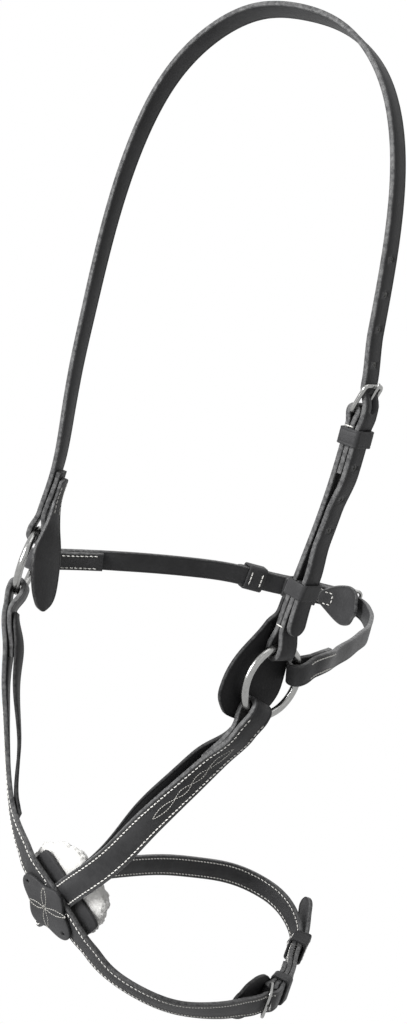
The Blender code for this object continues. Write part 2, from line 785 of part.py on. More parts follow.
billet_tip = near_end - BILLET_END
head_stations = ring_fold(
    0, 1, 1, HEAD_HALF_WIDTH, HEAD_THICK, OFF_TURN_BACK, HEAD_ROW
)[::-1]
head_stations += run(
    OFF_TURN_BACK, cheek.heel - LAP_RUN - HEAD_ROW, headpiece_height, HEAD_HALF_WIDTH, HEAD_ROW
)[1:]
head_stations += run(
    cheek.heel - LAP_RUN - HEAD_ROW, billet_tip - HEAD_HALF_WIDTH, headpiece_height,
    HEAD_HALF_WIDTH, HEAD_ROW / 4,
)[1:]
head_stations += round_tip(billet_tip, 1, headpiece_height, HEAD_HALF_WIDTH)
headpiece = leather("headpiece_strap", head_route, head_stations, HEAD_THICK)
cheek.slot_in_billet(headpiece)
cut_holes(
    headpiece, "cheek_holes", head_route, hole_row(cheek, CHEEK_HOLES_ABOVE, CHEEK_HOLES_BELOW),
    headpiece_height,
)

# Cheek strap: folded outwards round the near ring below and the buckle's heel bar above
ring_end = ring_fold(
    near_end, -1, -1, HEAD_HALF_WIDTH, HEAD_THICK, CHEEK_RING_BACK, HEAD_ROW
)
buckle_end = heel_fold(cheek, -1, HEAD_THICK, CHEEK_TURN_BACK, HEAD_ROW)
cheek_stations = ring_end[::-1] + run(
    near_end - CHEEK_RING_BACK, cheek.heel + CHEEK_TURN_BACK, lambda s: -head_far,
    HEAD_HALF_WIDTH, HEAD_ROW,
)[1:-1] + buckle_end
cheek_strap = leather("cheek_strap", head_route, cheek_stations, HEAD_THICK)
cheek.slot_in_chape(cheek_strap)

inner_face = -(HEAD_THICK + GAP / 2)
outer_face = cheek.over_chape + HEAD_THICK / 2
keeper(
    "cheek_keeper", head_route, cheek.heel + CHEEK_KEEPER, KEEPER_LENGTH, inner_face, outer_face,
    HEAD_HALF_WIDTH,
)
keeper(
    "cheek_runner_keeper", head_route, cheek.heel + CHEEK_RUNNER, KEEPER_LENGTH,
    inner_face, outer_face, HEAD_HALF_WIDTH,
)


def outline_stations(outline, place, height, sign=1):
    """Stations of a flat guard from its outline rows, sorted along the route."""
    made = []
    for up, low, high in outline:
        s = place(up * MM)
        made.append((s, height(s), (high - low) / 2 * MM, sign * (low + high) / 2 * MM))
    return made


GUARD_NECK = -(HEAD_THICK + GAP / 2) - GAP - GUARD_THICK / 2
GUARD_FLAT = -(RING_WIRE + RING_GAP + max(HEAD_THICK, NOSE_THICK)) - GAP - GUARD_THICK / 2


def near_guard_height(s):
    past = (near_end - FOLD_RAMP - s) / GUARD_STEP
    return GUARD_NECK + (GUARD_FLAT - GUARD_NECK) * ease(1 - past)


# Ring guards: leaves sewn under the folded straps, that keep the rings off the skin
leather("near_ring_guard", head_route, outline_stations(
    NEAR_GUARD, lambda up: near_end + RING_RADIUS - up, near_guard_height
), GUARD_THICK)
guard_top = OFF_GUARD[0][0] * MM
guard_neck = OFF_GUARD[1][0] * MM
neck_face = tuple(head_route.frame(guard_top - RING_RADIUS)[2])
guard_plane = OFF_RING + Vector((OFF_GUARD_INSET, 0, 0))
off_guard_route = Route([
    (tuple(head_route.point(guard_top - RING_RADIUS, GUARD_NECK - GAP)), neck_face),
    (tuple(head_route.point(guard_neck - RING_RADIUS, GUARD_NECK - 2 * GAP)), neck_face),
    (tuple(guard_plane + Vector((0, 0, 24 * MM))), (-1, 0, 0)),
    (tuple(guard_plane), (-1, 0, 0)),
    (tuple(guard_plane - Vector((0, 0, 32 * MM))), (-1, 0, 0)),
])
leather("off_ring_guard", off_guard_route, outline_stations(
    [(up, -high, -low) for up, low, high in OFF_GUARD], lambda up: guard_top - up, lambda s: 0
), GUARD_THICK)

# Jaw strap: a billet from the near ring, buckled behind the jaw to the strap from the off ring
jaw_end = jaw_route.length
jaw = Buckle(
    "jaw", jaw_route, jaw_end / 2 + JAW_HEEL_PAST_REAR, -1, JAW_WIDTH, JAW_THICK, JAW_THICK
)
jaw.make_frame()
jaw.make_tongue()
jaw_far = (JAW_THICK + GAP) / 2
jaw_billet_height = on_billet(jaw, 0)


def jaw_near_height(s):
    if s < 0.3 * jaw_end:
        return jaw_far * ease(1 - (s - JAW_NEAR_BACK) / LAP_RUN)
    return jaw_billet_height(s)


jaw_tip = jaw.heel + JAW_BILLET
jaw_billet_stations = ring_fold(
    0, 1, 1, JAW_HALF_WIDTH, JAW_THICK, JAW_NEAR_BACK, LOOP_ROW
)[::-1]
jaw_billet_stations += run(
    JAW_NEAR_BACK, jaw.heel - LAP_RUN, jaw_near_height, JAW_HALF_WIDTH, LOOP_ROW
)[1:]
jaw_billet_stations += run(
    jaw.heel - LAP_RUN, jaw.heel + BUCKLE_RUN, jaw_near_height, JAW_HALF_WIDTH, LOOP_ROW / 2
)[1:]
jaw_billet_stations += run(
    jaw.heel + BUCKLE_RUN, jaw_tip - JAW_HALF_WIDTH, jaw_near_height, JAW_HALF_WIDTH, LOOP_ROW
)[1:]
jaw_billet_stations += round_tip(jaw_tip, 1, jaw_near_height, JAW_HALF_WIDTH)
jaw_billet = leather("jaw_billet_strap", jaw_route, jaw_billet_stations, JAW_THICK)
jaw.slot_in_billet(jaw_billet)
cut_holes(
    jaw_billet, "jaw_holes", jaw_route, hole_row(jaw, 0, JAW_HOLES_BELOW), jaw_near_height
)
jaw_strap_stations = heel_fold(jaw, 1, JAW_THICK, JAW_TURN_BACK, LOOP_ROW)[::-1]
jaw_strap_stations += run(
    jaw.heel + JAW_TURN_BACK, jaw_end - JAW_OFF_BACK, lambda s: jaw_far, JAW_HALF_WIDTH, LOOP_ROW
)[1:-1]
jaw_strap_stations += ring_fold(
    jaw_end, -1, 1, JAW_HALF_WIDTH, JAW_THICK, JAW_OFF_BACK, LOOP_ROW
)
jaw_strap = leather("jaw_strap", jaw_route, jaw_strap_stations, JAW_THICK)
jaw.slot_in_chape(jaw_strap)
jaw_inner = -(JAW_THICK + GAP / 2)
jaw_outer = jaw.over_chape + JAW_THICK / 2
keeper(
    "jaw_keeper", jaw_route, jaw.heel + JAW_KEEPER, KEEPER_LENGTH, jaw_inner, jaw_outer,
    JAW_HALF_WIDTH,
)
keeper(
    "jaw_wide_keeper", jaw_route, jaw.heel + JAW_WIDE_KEEPER, WIDE_KEEPER_LENGTH,
    jaw_far - JAW_THICK / 2, jaw_outer + WIDE_KEEPER_SLACK, JAW_HALF_WIDTH, 2,
)


def buckle_guard(buckle, outline, thickness):
    """The leaf that lies between a buckle and the skin, sewn under the folded end."""
    under = -(buckle.fold_radius + thickness / 2) - GAP - GUARD_THICK / 2
    stations = outline_stations(
        outline, lambda d: buckle.heel + buckle.toe * d, lambda s: under, buckle.toe
    )
    leather(buckle.label + "_buckle_guard", buckle.route, stations, GUARD_THICK)


buckle_guard(jaw, JAW_GUARD, JAW_THICK)

# Nose and chin: each nose strap goes on through the crossing and round behind the chin
cross_on_off = off_route.nearest(CROSS)
cross_on_near = near_route.nearest(CROSS)
heel_place = off_route.point(cross_on_off + CHIN_HEEL_FROM_CROSS)
chin = Buckle(
    "chin", near_route, near_route.nearest(heel_place), 1, CHIN_WIDTH, NOSE_THICK, NOSE_THICK
)
chin.make_frame()
chin.make_tongue()
nose_far = (NOSE_THICK + GAP) / 2
LAP = CROSS_FLAT
PAST_LAP = 1.6 * LAP


def strap_width(cross):
    """Half width: the nose width, drawn in to the chin width just past the crossing."""
    def half(s):
        return NOSE_HALF_WIDTH + (CHIN_HALF_WIDTH - NOSE_HALF_WIDTH) * ease((s - cross) / LAP)
    return half


def shaped(stations, half):
    return [(s, out, half(s), shift) for s, out, _, shift in stations]


heel_on_off = cross_on_off + CHIN_HEEL_FROM_CROSS
off_marks = [(heel_on_off - d, h) for d, h in chin.billet_marks(0)]
off_height = height_along(sorted(
    [(NOSE_TURN_BACK, nose_far), (NOSE_TURN_BACK + LAP_RUN, 0),
     (cross_on_off - PAST_LAP, 0), (cross_on_off - LAP, nose_far),
     (cross_on_off + LAP, nose_far), (cross_on_off + PAST_LAP, 0)] + off_marks
))
off_tip = heel_on_off + CHIN_BILLET
off_half = strap_width(cross_on_off)
off_stations = ring_fold(0, 1, 1, NOSE_HALF_WIDTH, NOSE_THICK, NOSE_TURN_BACK, LOOP_ROW)[::-1]
off_stations += shaped(
    run(NOSE_TURN_BACK, heel_on_off - LAP_RUN, off_height, 0, LOOP_ROW)[1:]
    + run(heel_on_off - LAP_RUN, heel_on_off + BUCKLE_RUN, off_height, 0, LOOP_ROW / 2)[1:]
    + run(heel_on_off + BUCKLE_RUN, off_tip - CHIN_HALF_WIDTH, off_height, 0, LOOP_ROW)[1:],
    off_half,
)
off_stations += round_tip(off_tip, 1, off_height, CHIN_HALF_WIDTH)
off_strap = leather("off_nose_strap", off_route, off_stations, NOSE_THICK)
chin.slot_in_billet(off_strap)
cut_holes(
    off_strap, "chin_holes", off_route,
    [heel_on_off - BUCKLE_LENGTH / 2 + i * HOLE_PITCH for i in range(1, CHIN_HOLES_BELOW + 1)],
    off_height,
)

near_height = height_along(sorted(
    [(NOSE_TURN_BACK, nose_far), (NOSE_TURN_BACK + LAP_RUN, 0),
     (cross_on_near - PAST_LAP, 0), (cross_on_near - LAP, -nose_far),
     (cross_on_near + LAP, -nose_far), (cross_on_near + PAST_LAP, 0),
     (chin.heel - CHIN_TURN_BACK - LAP_RUN, 0), (chin.heel - CHIN_TURN_BACK, nose_far)]
))
near_half = strap_width(cross_on_near)
near_stations = ring_fold(0, 1, 1, NOSE_HALF_WIDTH, NOSE_THICK, NOSE_TURN_BACK, LOOP_ROW)[::-1]
near_stations += shaped(
    run(NOSE_TURN_BACK, chin.heel - CHIN_TURN_BACK, near_height, 0, LOOP_ROW)[1:-1], near_half
)
near_stations += heel_fold(chin, 1, NOSE_THICK, CHIN_TURN_BACK, LOOP_ROW)
near_strap = leather("near_nose_strap", near_route, near_stations, NOSE_THICK)
chin.slot_in_chape(near_strap)
chin_inner = -(NOSE_THICK + GAP / 2)
chin_outer = chin.over_chape + NOSE_THICK / 2
keeper(
    "chin_keeper", near_route, chin.heel - CHIN_KEEPER, KEEPER_LENGTH, chin_inner, chin_outer,
    CHIN_HALF_WIDTH,
)
keeper(
    "chin_wide_keeper", near_route, chin.heel - CHIN_WIDE_KEEPER, WIDE_KEEPER_LENGTH,
    -NOSE_THICK / 2 - WIDE_KEEPER_SLACK, chin_outer + WIDE_KEEPER_SLACK, CHIN_HALF_WIDTH, 2,
)
buckle_guard(chin, CHIN_GUARD, NOSE_THICK)


def lining(name, route, end, side):
    """The inner layer of a nose strap, standing off it between the ring and the crossing."""
    start = FOLD_RAMP + 2 * MM
    at_fold = -(NOSE_THICK + GAP / 2) - GAP - LINING_THICK / 2
    at_end = -NOSE_THICK / 2 - GAP - LINING_THICK / 2
    height = height_along([
        (start, at_fold), (NOSE_TURN_BACK, at_fold - 1 * MM),
        ((NOSE_TURN_BACK + end) / 2, -LINING_BULGE), (end - LINING_END, at_end - 0.4 * MM),
        (end, at_end),
    ])
    stations = []
    for s, out, half, _ in run(start, end, height, LINING_WIDTH / 2, LOOP_ROW):
        share = (s - start) / (end - start)
        stations.append((s, out, half, side * LINING_SHIFT * math.sin(math.pi * share)))
    leather(name, route, stations, LINING_THICK, LINING_LEATHER)


lining("near_nose_lining", near_route, cross_on_near - NEAR_LINING_SHORT, 1)
lining("off_nose_lining", off_route, cross_on_off - OFF_LINING_SHORT, -1)

# Crossing: stitched patch in front, leather backing and fleece pad behind
CROSS_TURN = Matrix((CROSS_RIGHT, CROSS_UP, CROSS_FACE)).transposed()


def flat_plate(name, outline, lift, thickness, finish, edge, aside=0.0):
    """A flat plate in the plane of the crossing, from an outline in that plane."""
    middle = CROSS + lift * CROSS_FACE + aside * cross_direction(CROSS_ANGLE_OFF + 90)
    curve = bpy.data.curves.new(name, "CURVE")
    curve.dimensions = "2D"
    curve.fill_mode = "BOTH"
    curve.extrude = thickness / 2
    line = curve.splines.new("POLY")
    line.points.add(len(outline) - 1)
    for spot, (x, y) in zip(line.points, outline):
        spot.co = (x, y, 0, 1)
    line.use_cyclic_u = True
    made = bpy.data.objects.new(name, curve)
    made.matrix_world = Matrix.Translation(middle) @ CROSS_TURN.to_4x4()
    curve.materials.append(finish)
    parts.objects.link(made)
    weld = made.modifiers.new("weld", "WELD")
    weld.merge_threshold = 0.00001
    if edge:
        eased = made.modifiers.new("eased_edges", "BEVEL")
        eased.width = edge
        eased.segments = 2
        eased.limit_method = "ANGLE"
        eased.angle_limit = math.radians(60)


def star_outline(turn, count=40):
    """Four rounded lobes along the straps, the lower and upper ones shorter."""
    made = []
    for i in range(count):
        angle = 2 * math.pi * i / count
        lobe = math.cos(2 * angle) ** 2
        reach = PATCH_REACH * math.cos(angle) ** 2 + PATCH_SHORT_REACH * math.sin(angle) ** 2
        radius = reach * (PATCH_WAIST + (1 - PATCH_WAIST) * lobe)
        made.append((radius * math.cos(angle + turn), radius * math.sin(angle + turn)))
    return made


def box_outline(length, width, corner, turn):
    made = []
    for quarter in range(4):
        side_x = 1 if quarter in (0, 3) else -1
        side_y = 1 if quarter in (0, 1) else -1
        for step in range(4):
            angle = math.radians(90 * quarter + 30 * step)
            x = side_x * (length / 2 - corner) + corner * math.cos(angle)
            y = side_y * (width / 2 - corner) + corner * math.sin(angle)
            made.append((
                x * math.cos(turn) - y * math.sin(turn), x * math.sin(turn) + y * math.cos(turn),
            ))
    return made


stack = NOSE_THICK + GAP / 2
patch_lift = stack + GAP + PATCH_THICK / 2
backing_lift = -(stack + GAP + BACKING_THICK / 2)
fleece_lift = backing_lift - BACKING_THICK / 2 - GAP - FLEECE_THICK / 2
off_turn = math.radians(CROSS_ANGLE_OFF)
flat_plate(
    "nose_patch", star_outline(off_turn), patch_lift, PATCH_THICK,
    BLACK_LEATHER, 0.5 * MM,
)
flat_plate(
    "nose_backing", box_outline(BACKING_LENGTH, BACKING_WIDTH, BACKING_CORNER, off_turn),
    backing_lift, BACKING_THICK, BLACK_LEATHER, 0, BACKING_ASIDE,
)
fleece_outline = [
    (
        FLEECE_SHIFT[0] + FLEECE_RADIUS * math.cos(2 * math.pi * i / 32),
        FLEECE_SHIFT[1] + FLEECE_RADIUS * math.sin(2 * math.pi * i / 32),
    )
    for i in range(32)
]
flat_plate("fleece_pad", fleece_outline, fleece_lift, FLEECE_THICK, FLEECE, 3.5 * MM)
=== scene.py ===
"""Looks of the crossed noseband: its leather straps bent along their routes, with eased edges,
stitching and punched holes, its wire rings and buckles, and the fleece on the nose. Metres, in
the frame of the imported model: +Z up, +X to the near side, -Y to the front, poll at the origin."""

import math
import random

import bmesh
import bpy
import numpy as np
from mathutils import Matrix, Vector, noise


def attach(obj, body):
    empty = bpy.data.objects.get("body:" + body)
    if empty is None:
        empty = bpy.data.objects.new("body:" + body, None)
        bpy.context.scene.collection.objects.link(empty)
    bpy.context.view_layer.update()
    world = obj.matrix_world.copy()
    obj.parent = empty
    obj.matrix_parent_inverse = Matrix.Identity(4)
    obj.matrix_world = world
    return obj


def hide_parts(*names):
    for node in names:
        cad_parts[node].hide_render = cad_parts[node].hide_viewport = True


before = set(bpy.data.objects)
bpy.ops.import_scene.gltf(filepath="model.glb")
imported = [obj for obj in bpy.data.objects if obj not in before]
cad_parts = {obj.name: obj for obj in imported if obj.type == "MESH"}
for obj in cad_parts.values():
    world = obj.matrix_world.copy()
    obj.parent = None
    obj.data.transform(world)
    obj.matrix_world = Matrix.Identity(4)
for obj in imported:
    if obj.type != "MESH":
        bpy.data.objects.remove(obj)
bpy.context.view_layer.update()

MM = 0.001

# Leather straps: width and thickness of each
HEAD_WIDTH = 14 * MM
HEAD_THICK = 3.3 * MM
JAW_WIDTH = 14 * MM
JAW_THICK = 3.2 * MM
NOSE_WIDTH = 18 * MM
NOSE_THICK = 3.2 * MM
LINING_WIDTH = 18 * MM
LINING_THICK = 2.4 * MM
CHIN_WIDTH = 16 * MM
GUARD_THICK = 2.6 * MM
KEEPER_THICK = 1.6 * MM
KEEPER_LENGTH = 10 * MM
HEAD_HALF = HEAD_WIDTH / 2
JAW_HALF = JAW_WIDTH / 2
NOSE_HALF = NOSE_WIDTH / 2
CHIN_HALF = CHIN_WIDTH / 2

# Rings and buckles
RING_RADIUS = 22 * MM
RING_WIRE = 2.5 * MM
BUCKLE_WIRE = 1.3 * MM
BUCKLE_LENGTH = 16 * MM
BUCKLE_CORNER = 2.6 * MM
TONGUE_WIRE = 0.9 * MM
HOLE_RADIUS = 1.5 * MM
HOLE_PITCH = 20 * MM
BILLET_LIFT = 2.5 * MM
TONGUE_PAST_TOE = 2.5 * MM
EYE_TURN = 290
CHAPE_SLOT = 8 * MM
BILLET_SLOT = (2 * MM, 12.5 * MM)
BILLET_SLOT_DEPTH = 8 * MM
PUNCH_DEPTH = 9 * MM

# Clearances between pieces that touch
GAP = 0.3 * MM
RING_GAP = 0.6 * MM
SIDE_GAP = 0.6 * MM
KEEPER_GAP = 0.4 * MM
SLIDE_SLACK = 0.15 * MM

# Layout of the rings and of the strap routes
RING_DROP = 382 * MM
RING_SIDE = 105 * MM
NEAR_RING_TURN = 8.0
OFF_RING_TURN = 29.0
OFF_RING_LEAN = 3.0
NEAR_NOSE_ANGLE = 22.0
OFF_NOSE_ANGLE = 24.0
NEAR_JAW_ANGLE = 16.0
OFF_JAW_ANGLE = -10.0
FOLD_RAMP = 13 * MM
BUCKLE_RAMP = 7.5 * MM
FREE_RUN = 30 * MM
LAP_RUN = 40 * MM
HEAD_LAP_RUN = 60 * MM
FACE_SMOOTHING = 12 * MM

# How finely things are cut up
ROUTE_SAMPLES = 600
STRAP_ROW = 2.5 * MM
RAMP_ROWS = 6
FOLD_STEPS = 18
TIP_STEPS = 9
EASE_STEPS = 4
SEAM_ROW = 1.5 * MM
EYE_STEPS = 24
KEEPER_STEPS = 48
PETAL_STEPS = 12

# The dressed edges of the leather. The crease is pressed in beside each edge: its section
# is distance in from its middle and share of its depth.
EASE_RADIUS = 0.8 * MM
LINING_EASE = 1 * MM
KEEPER_EASE = 0.45 * MM
PLATE_EASE = 0.7 * MM
CREASE_INSET = 1.5 * MM
CREASE_DEPTH = 0.16 * MM
CREASE_SHAPE = ((-0.45 * MM, 0), (-0.2 * MM, 0.8), (0, 1), (0.2 * MM, 0.8), (0.45 * MM, 0))
KEEPER_CORNER = 2 * MM
KEEPER_CREASE = 0.18 * MM
KEEPER_ROWS = (-0.5, -0.4, -0.35, -0.3, -0.1, 0.1, 0.3, 0.35, 0.4, 0.5)
# Shares of the half width that is left inside the dressed edges, and at the very tip
LEAST_WIDTH = 0.15
TIP_POINT = 0.12

# How much narrower, as a share, the turned-back ends and the lining's upper end are cut
RING_SKIVE = 0.06
HEAD_SKIVE = 0.25
NOSE_SKIVE = 0.3
LINING_SKIVE = 0.35
LINING_SKIVE_LENGTH = 34 * MM

# Nose crossing
CROSS_FORWARD = 17 * MM
CROSS_DROP = 197 * MM
CROSS_LEAN = -0.33
CROSS_ANGLE_OFF = -37.0
CROSS_ANGLE_NEAR = 231.0
CROSS_FLAT = 26.5 * MM
PAST_CROSS = 1.6 * CROSS_FLAT
OFF_CROSS_ASIDE = 6 * MM
PATCH_REACH = 25 * MM
PATCH_SHORT_REACH = 19 * MM
PATCH_WAIST = 0.72
PATCH_THICK = 2.6 * MM
PATCH_CROWN = 0.9 * MM
PATCH_HOLE_REACH = 20.5 * MM
PETAL_LENGTHS = (18.5 * MM, 16 * MM, 16 * MM, 16 * MM)
PETAL_WIDTH = 2 * MM
PETAL_TURN = 44
BACKING_LENGTH = 60 * MM
BACKING_WIDTH = 25 * MM
BACKING_THICK = 2.6 * MM
BACKING_ASIDE = 10 * MM
BACKING_POWER = 9
FLEECE_RADIUS = 31.5 * MM
FLEECE_THICK = 12 * MM
FLEECE_SHIFT = (4 * MM, 8 * MM)
FLEECE_POWER = 3.2
LOCK_SIZE = 4.5 * MM
LOCK_HEIGHT = 2 * MM
CURL_SIZE = 1.7 * MM
CURL_HEIGHT = 0.75 * MM
PRESSED_PUFF = 0.1 * MM

# Routes in millimetres from the point midway between the rings: place, outward face
HEAD_OFF = [
    ((-98.5, 0, 65), (-0.95, -0.30, 0)),
    ((-103.5, 0, 110), (-1, -0.22, 0)),
    ((-107, 0, 167), (-1, -0.15, 0)),
    ((-107.5, 0, 228), (-1, -0.08, 0.08)),
    ((-101.5, 0, 285), (-0.95, 0, 0.30)),
    ((-86.5, 0, 329), (-0.8, 0.12, 0.60)),
    ((-62.5, 0, 359), (-0.5, 0.22, 0.85)),
    ((-33, 0, 377), (-0.22, 0.33, 0.90)),
    ((0, 0, 382), (0, 0.42, 0.90)),
]
HEAD_NEAR = [
    ((34, 0, 377.5), (0.22, 0.30, 0.90)),
    ((64, 0, 359.5), (0.5, 0.10, 0.85)),
    ((85, 0, 329.5), (0.8, 0.06, 0.60)),
    ((99.5, 0, 284), (0.95, 0.06, 0.30)),
    ((107.5, 0, 228), (1, 0.04, 0.08)),
    ((112.5, 0, 167), (1, 0.02, 0)),
    ((111.5, 0, 110), (1, 0, 0)),
    ((107, 0, 65), (1, -0.04, 0)),
]
JAW_NEAR = [
    ((94, 78, 5), (0.96, 0.28, 0)),
    ((85, 109, 4), (0.95, 0.32, 0)),
    ((73, 140, 3), (0.92, 0.38, 0)),
    ((60, 170, 0), (0.88, 0.47, 0)),
    ((45, 197, -2), (0.80, 0.60, 0)),
    ((28, 221, -3), (0.55, 0.84, 0)),
]
JAW_REAR = ((0, 236, -3), (0, 1, 0))
JAW_OFF = [
    ((-27, 221, -3), (-0.55, 0.84, 0)),
    ((-43, 197, -2), (-0.80, 0.60, 0)),
    ((-57, 170, 1), (-0.88, 0.47, 0)),
    ((-70, 140, 2), (-0.92, 0.38, 0)),
    ((-81, 109, 2), (-0.95, 0.32, 0)),
    ((-91, 78, 1.5), (-0.96, 0.28, 0)),
]
NEAR_NOSE = [
    ((92, -14, -51), (0.93, -0.34, -0.2)),
    ((76, -18, -81), (0.80, -0.55, -0.25)),
    ((57, -21, -115), (0.55, -0.80, -0.28)),
    ((39, -23, -148), (0.25, -0.92, -0.32)),
]
OFF_NOSE = [
    ((-90, -15.5, -50), (-0.90, -0.42, -0.20)),
    ((-83, -17, -76), (-0.80, -0.56, -0.24)),
    ((-72, -19, -105), (-0.70, -0.66, -0.26)),
    ((-61, -20.5, -129), (-0.66, -0.70, -0.27)),
    ((-47.5, -22, -152.5), (-0.60, -0.75, -0.27)),
]
CHIN_NEAR_LEG = [
    ((41, 0, -226.5), (0.22, -0.74, -0.64)),
    ((58.5, 15, -237), (0.38, -0.65, -0.65)),
    ((70, 36, -246), (0.60, -0.44, -0.67)),
    ((75, 62, -254), (0.80, -0.25, -0.55)),
    ((79, 102, -262), (0.96, -0.05, -0.28)),
    ((76.5, 141, -267), (0.99, 0.13, -0.05)),
    ((69.5, 171, -268), (0.94, 0.30, -0.05)),
    ((59, 196, -268), (0.89, 0.45, 0)),
    ((46, 217, -265), (0.85, 0.50, -0.03)),
    ((36, 238, -259), (0.55, 0.83, -0.03)),
]
CHIN_OFF_LEG = [
    ((17, 240, -243), (-0.10, 0.98, 0.05)),
    ((-3, 230, -234), (-0.62, 0.77, 0.05)),
    ((-16, 206, -225.5), (-0.90, 0.42, 0)),
    ((-25, 175, -219.5), (-0.95, 0.28, 0)),
    ((-32, 142, -214.5), (-0.95, 0.25, 0)),
    ((-36, 106, -211), (-0.98, 0.12, 0)),
    ((-37, 72, -208), (-0.98, -0.04, -0.05)),
    ((-35, 40, -208), (-0.95, -0.22, -0.1)),
    ((-28, 12, -213), (-0.75, -0.60, -0.2)),
]
CHIN_TIP = [
    ((27, 248, -247), (0.50, 0.82, -0.15)),
    ((21, 254, -235), (0.50, 0.82, -0.20)),
    ((15, 260, -223), (0.50, 0.82, -0.22)),
]

# Where things sit along the straps
OFF_TURN_BACK = 44 * MM
CHEEK_HEEL_UP = 150 * MM
CHEEK_TURN_BACK = 37 * MM
CHEEK_RING_BACK = 44 * MM
CHEEK_KEEPER = 15 * MM
CHEEK_RUNNER = 111 * MM
CHEEK_HOLES = 4
BILLET_END = 10 * MM
BILLET_LOW = 2.7 * MM
BILLET_RISE = 1.3 * MM
BILLET_STEP = 24 * MM
JAW_HEEL_PAST_REAR = 5 * MM
JAW_TURN_BACK = 42 * MM
JAW_NEAR_BACK = 46 * MM
JAW_OFF_BACK = 60 * MM
JAW_KEEPER = 20 * MM
JAW_WIDE_KEEPER = 66 * MM
JAW_BILLET = 84 * MM
JAW_HOLES = 3
CHIN_HEEL_FROM_CROSS = 230 * MM
CHIN_TURN_BACK = 46 * MM
CHIN_KEEPER = 17.5 * MM
CHIN_WIDE_KEEPER = 83 * MM
CHIN_BILLET = 124 * MM
CHIN_HOLES = 3
NOSE_TURN_BACK = 44 * MM
WIDE_KEEPER_LENGTH = 15 * MM
WIDE_KEEPER_SLACK = 0.6 * MM
LINING_BULGE = 8 * MM
LINING_SHIFT = 2.5 * MM
NEAR_LINING_SHORT = 44 * MM
OFF_LINING_SHORT = 61 * MM

# Outlines of the ring guards, in millimetres: distance up from the ring's middle,
# rear edge, front edge
NEAR_GUARD = [
    (52, -6.5, 6.5), (44, -7, 7), (36, -10, 10), (28, -13, 16), (19, -15.5, 24),
    (8, -17.5, 31), (-4, -18, 34), (-13, -16.5, 33), (-20, -12, 28), (-25, -4, 20), (-27, 3, 13),
]
OFF_GUARD = [
    (60, -5, 5), (48, -5, 5), (36, -6, 7), (27, -7, 10), (16, -10, 14), (5, -13.5, 13),
    (-6, -16, 9.5), (-17, -17.5, 5), (-25, -16.5, 0), (-29, -13.5, -4), (-31, -10.5, -7.5),
]
OFF_GUARD_INSET = 14 * MM
OFF_GUARD_STOPS = (24, 0, -32)
GUARD_STEP = 8 * MM
# Outlines of the buckle guards: distance from the heel towards the toe, lower edge, upper
# edge
JAW_GUARD = [
    (-11, -6, 6), (-5, -9.5, 9.5), (3, -13.5, 12.5), (11, -15.5, 14), (18, -15, 13.5),
    (23, -13, 11.5), (26, -10, 8.5), (28, -5.5, 4),
]
CHIN_GUARD = [
    (-11, -7, 7), (-5, -10.5, 10.5), (3, -14, 14), (12, -16, 16), (22, -16.5, 16.5),
    (31, -15, 15), (37, -11.5, 11.5), (40, -7, 7),
]
# How outlines are filled in: row, narrowest end that is rounded and how far it may drop
OUTLINE_ROW = 1.6
OUTLINE_LEAST = 2
OUTLINE_DROP = 3.0

# Stitching: waxed thread at eight to the inch, in a channel cut along each edge
STITCH_PITCH = 3.2 * MM
STITCH_LENGTH = 2.5 * MM
THREAD_WIDTH = 0.85 * MM
THREAD_HEIGHT = 0.5 * MM
STITCH_SLANT = 7.0
STITCH_SUNK = 0.02 * MM
STITCH_INSET = 2.3 * MM
SEWN = {"inset": STITCH_INSET, "depth": 0.22 * MM}
BOLD_STITCH = {"pitch": 3.3 * MM, "length": 3.2 * MM, "slant": 0.0, "width": 1.1 * MM}
CLOSE_STITCH = {"pitch": 2.7 * MM, "length": 2.6 * MM, "slant": 0.0, "width": 1.0 * MM}
FINE_STITCH = {"pitch": 1.9 * MM, "length": 1.7 * MM, "slant": 0.0, "width": 0.5 * MM}
HOOK_STITCH = {"pitch": 2.1 * MM, "length": 2.0 * MM, "slant": 0.0}
HOOK_REACH = 4 * MM

# Where the rows of stitches start and end
LAP_END = 2.6 * MM
RING_SEAM = 5 * MM
HEEL_SEAM = 6 * MM
GUARD_SEAM_END = 36 * MM
GUARD_SEAM_ACROSS = 3.4 * MM
TAB_SEAM = (2.5 * MM, 10.5 * MM)
TAB_SEAM_ACROSS = 4.4 * MM
WIDE_SEAM_SHARE = 0.3
WIDE_SEAM_INSET = 0.6 * MM
PATCH_HIDES = 11.5 * MM
NEAR_ROW_START = 3 * MM
NEAR_ROW_END = 10 * MM
NEAR_ROW_RESUMES = 22 * MM
CHIN_ROW_END = 6 * MM
WAVE_ENDS = (23 * MM, 47 * MM, 62 * MM, 77 * MM, 99 * MM)
WAVE_HEIGHT = 2 * MM

# The photograph's camera, from both rings, the poll and the crossing
CAMERA_PLACE = (0.6629, -0.8743, -0.0695)
CAMERA_RIGHT = (0.7476, 0.6142, 0.2527)
CAMERA_DOWN = (0.3288, -0.0116, -0.9443)
CAMERA_FORWARD = (-0.577, 0.7891, -0.2106)
CAMERA_FOCAL = 1800
IMAGE_HEIGHT = 1024
SENSOR_HEIGHT = 24

# Studio
FLOOR_HALF = 6
FLOOR_DROP = 1.02
STUDIO_LEVEL = 0.24
LAMP_AIM = (0, 0.05, -0.35)
WHITE = (1, 1, 1, 1)


def placed(centre, axes):
    """The matrix that sets a shape at a place, its x, y and z along three directions."""
    return Matrix.Translation(centre) @ Matrix(axes).transposed().to_4x4()


def add_object(name, data):
    made = bpy.data.objects.new(name, data)
    bpy.context.scene.collection.objects.link(made)
    return made


def mesh_object(name, bm, finish=None, sharp=45):
    """The object of a finished bmesh; sharp is the angle in degrees past which an edge is hard."""
    mesh = bpy.data.meshes.new(name)
    bm.to_mesh(mesh)
    bm.free()
    mesh.shade_smooth()
    if sharp:
        mesh.set_sharp_from_angle(angle=math.radians(sharp))
    if finish is not None:
        mesh.materials.append(finish)
    return add_object(name, mesh)


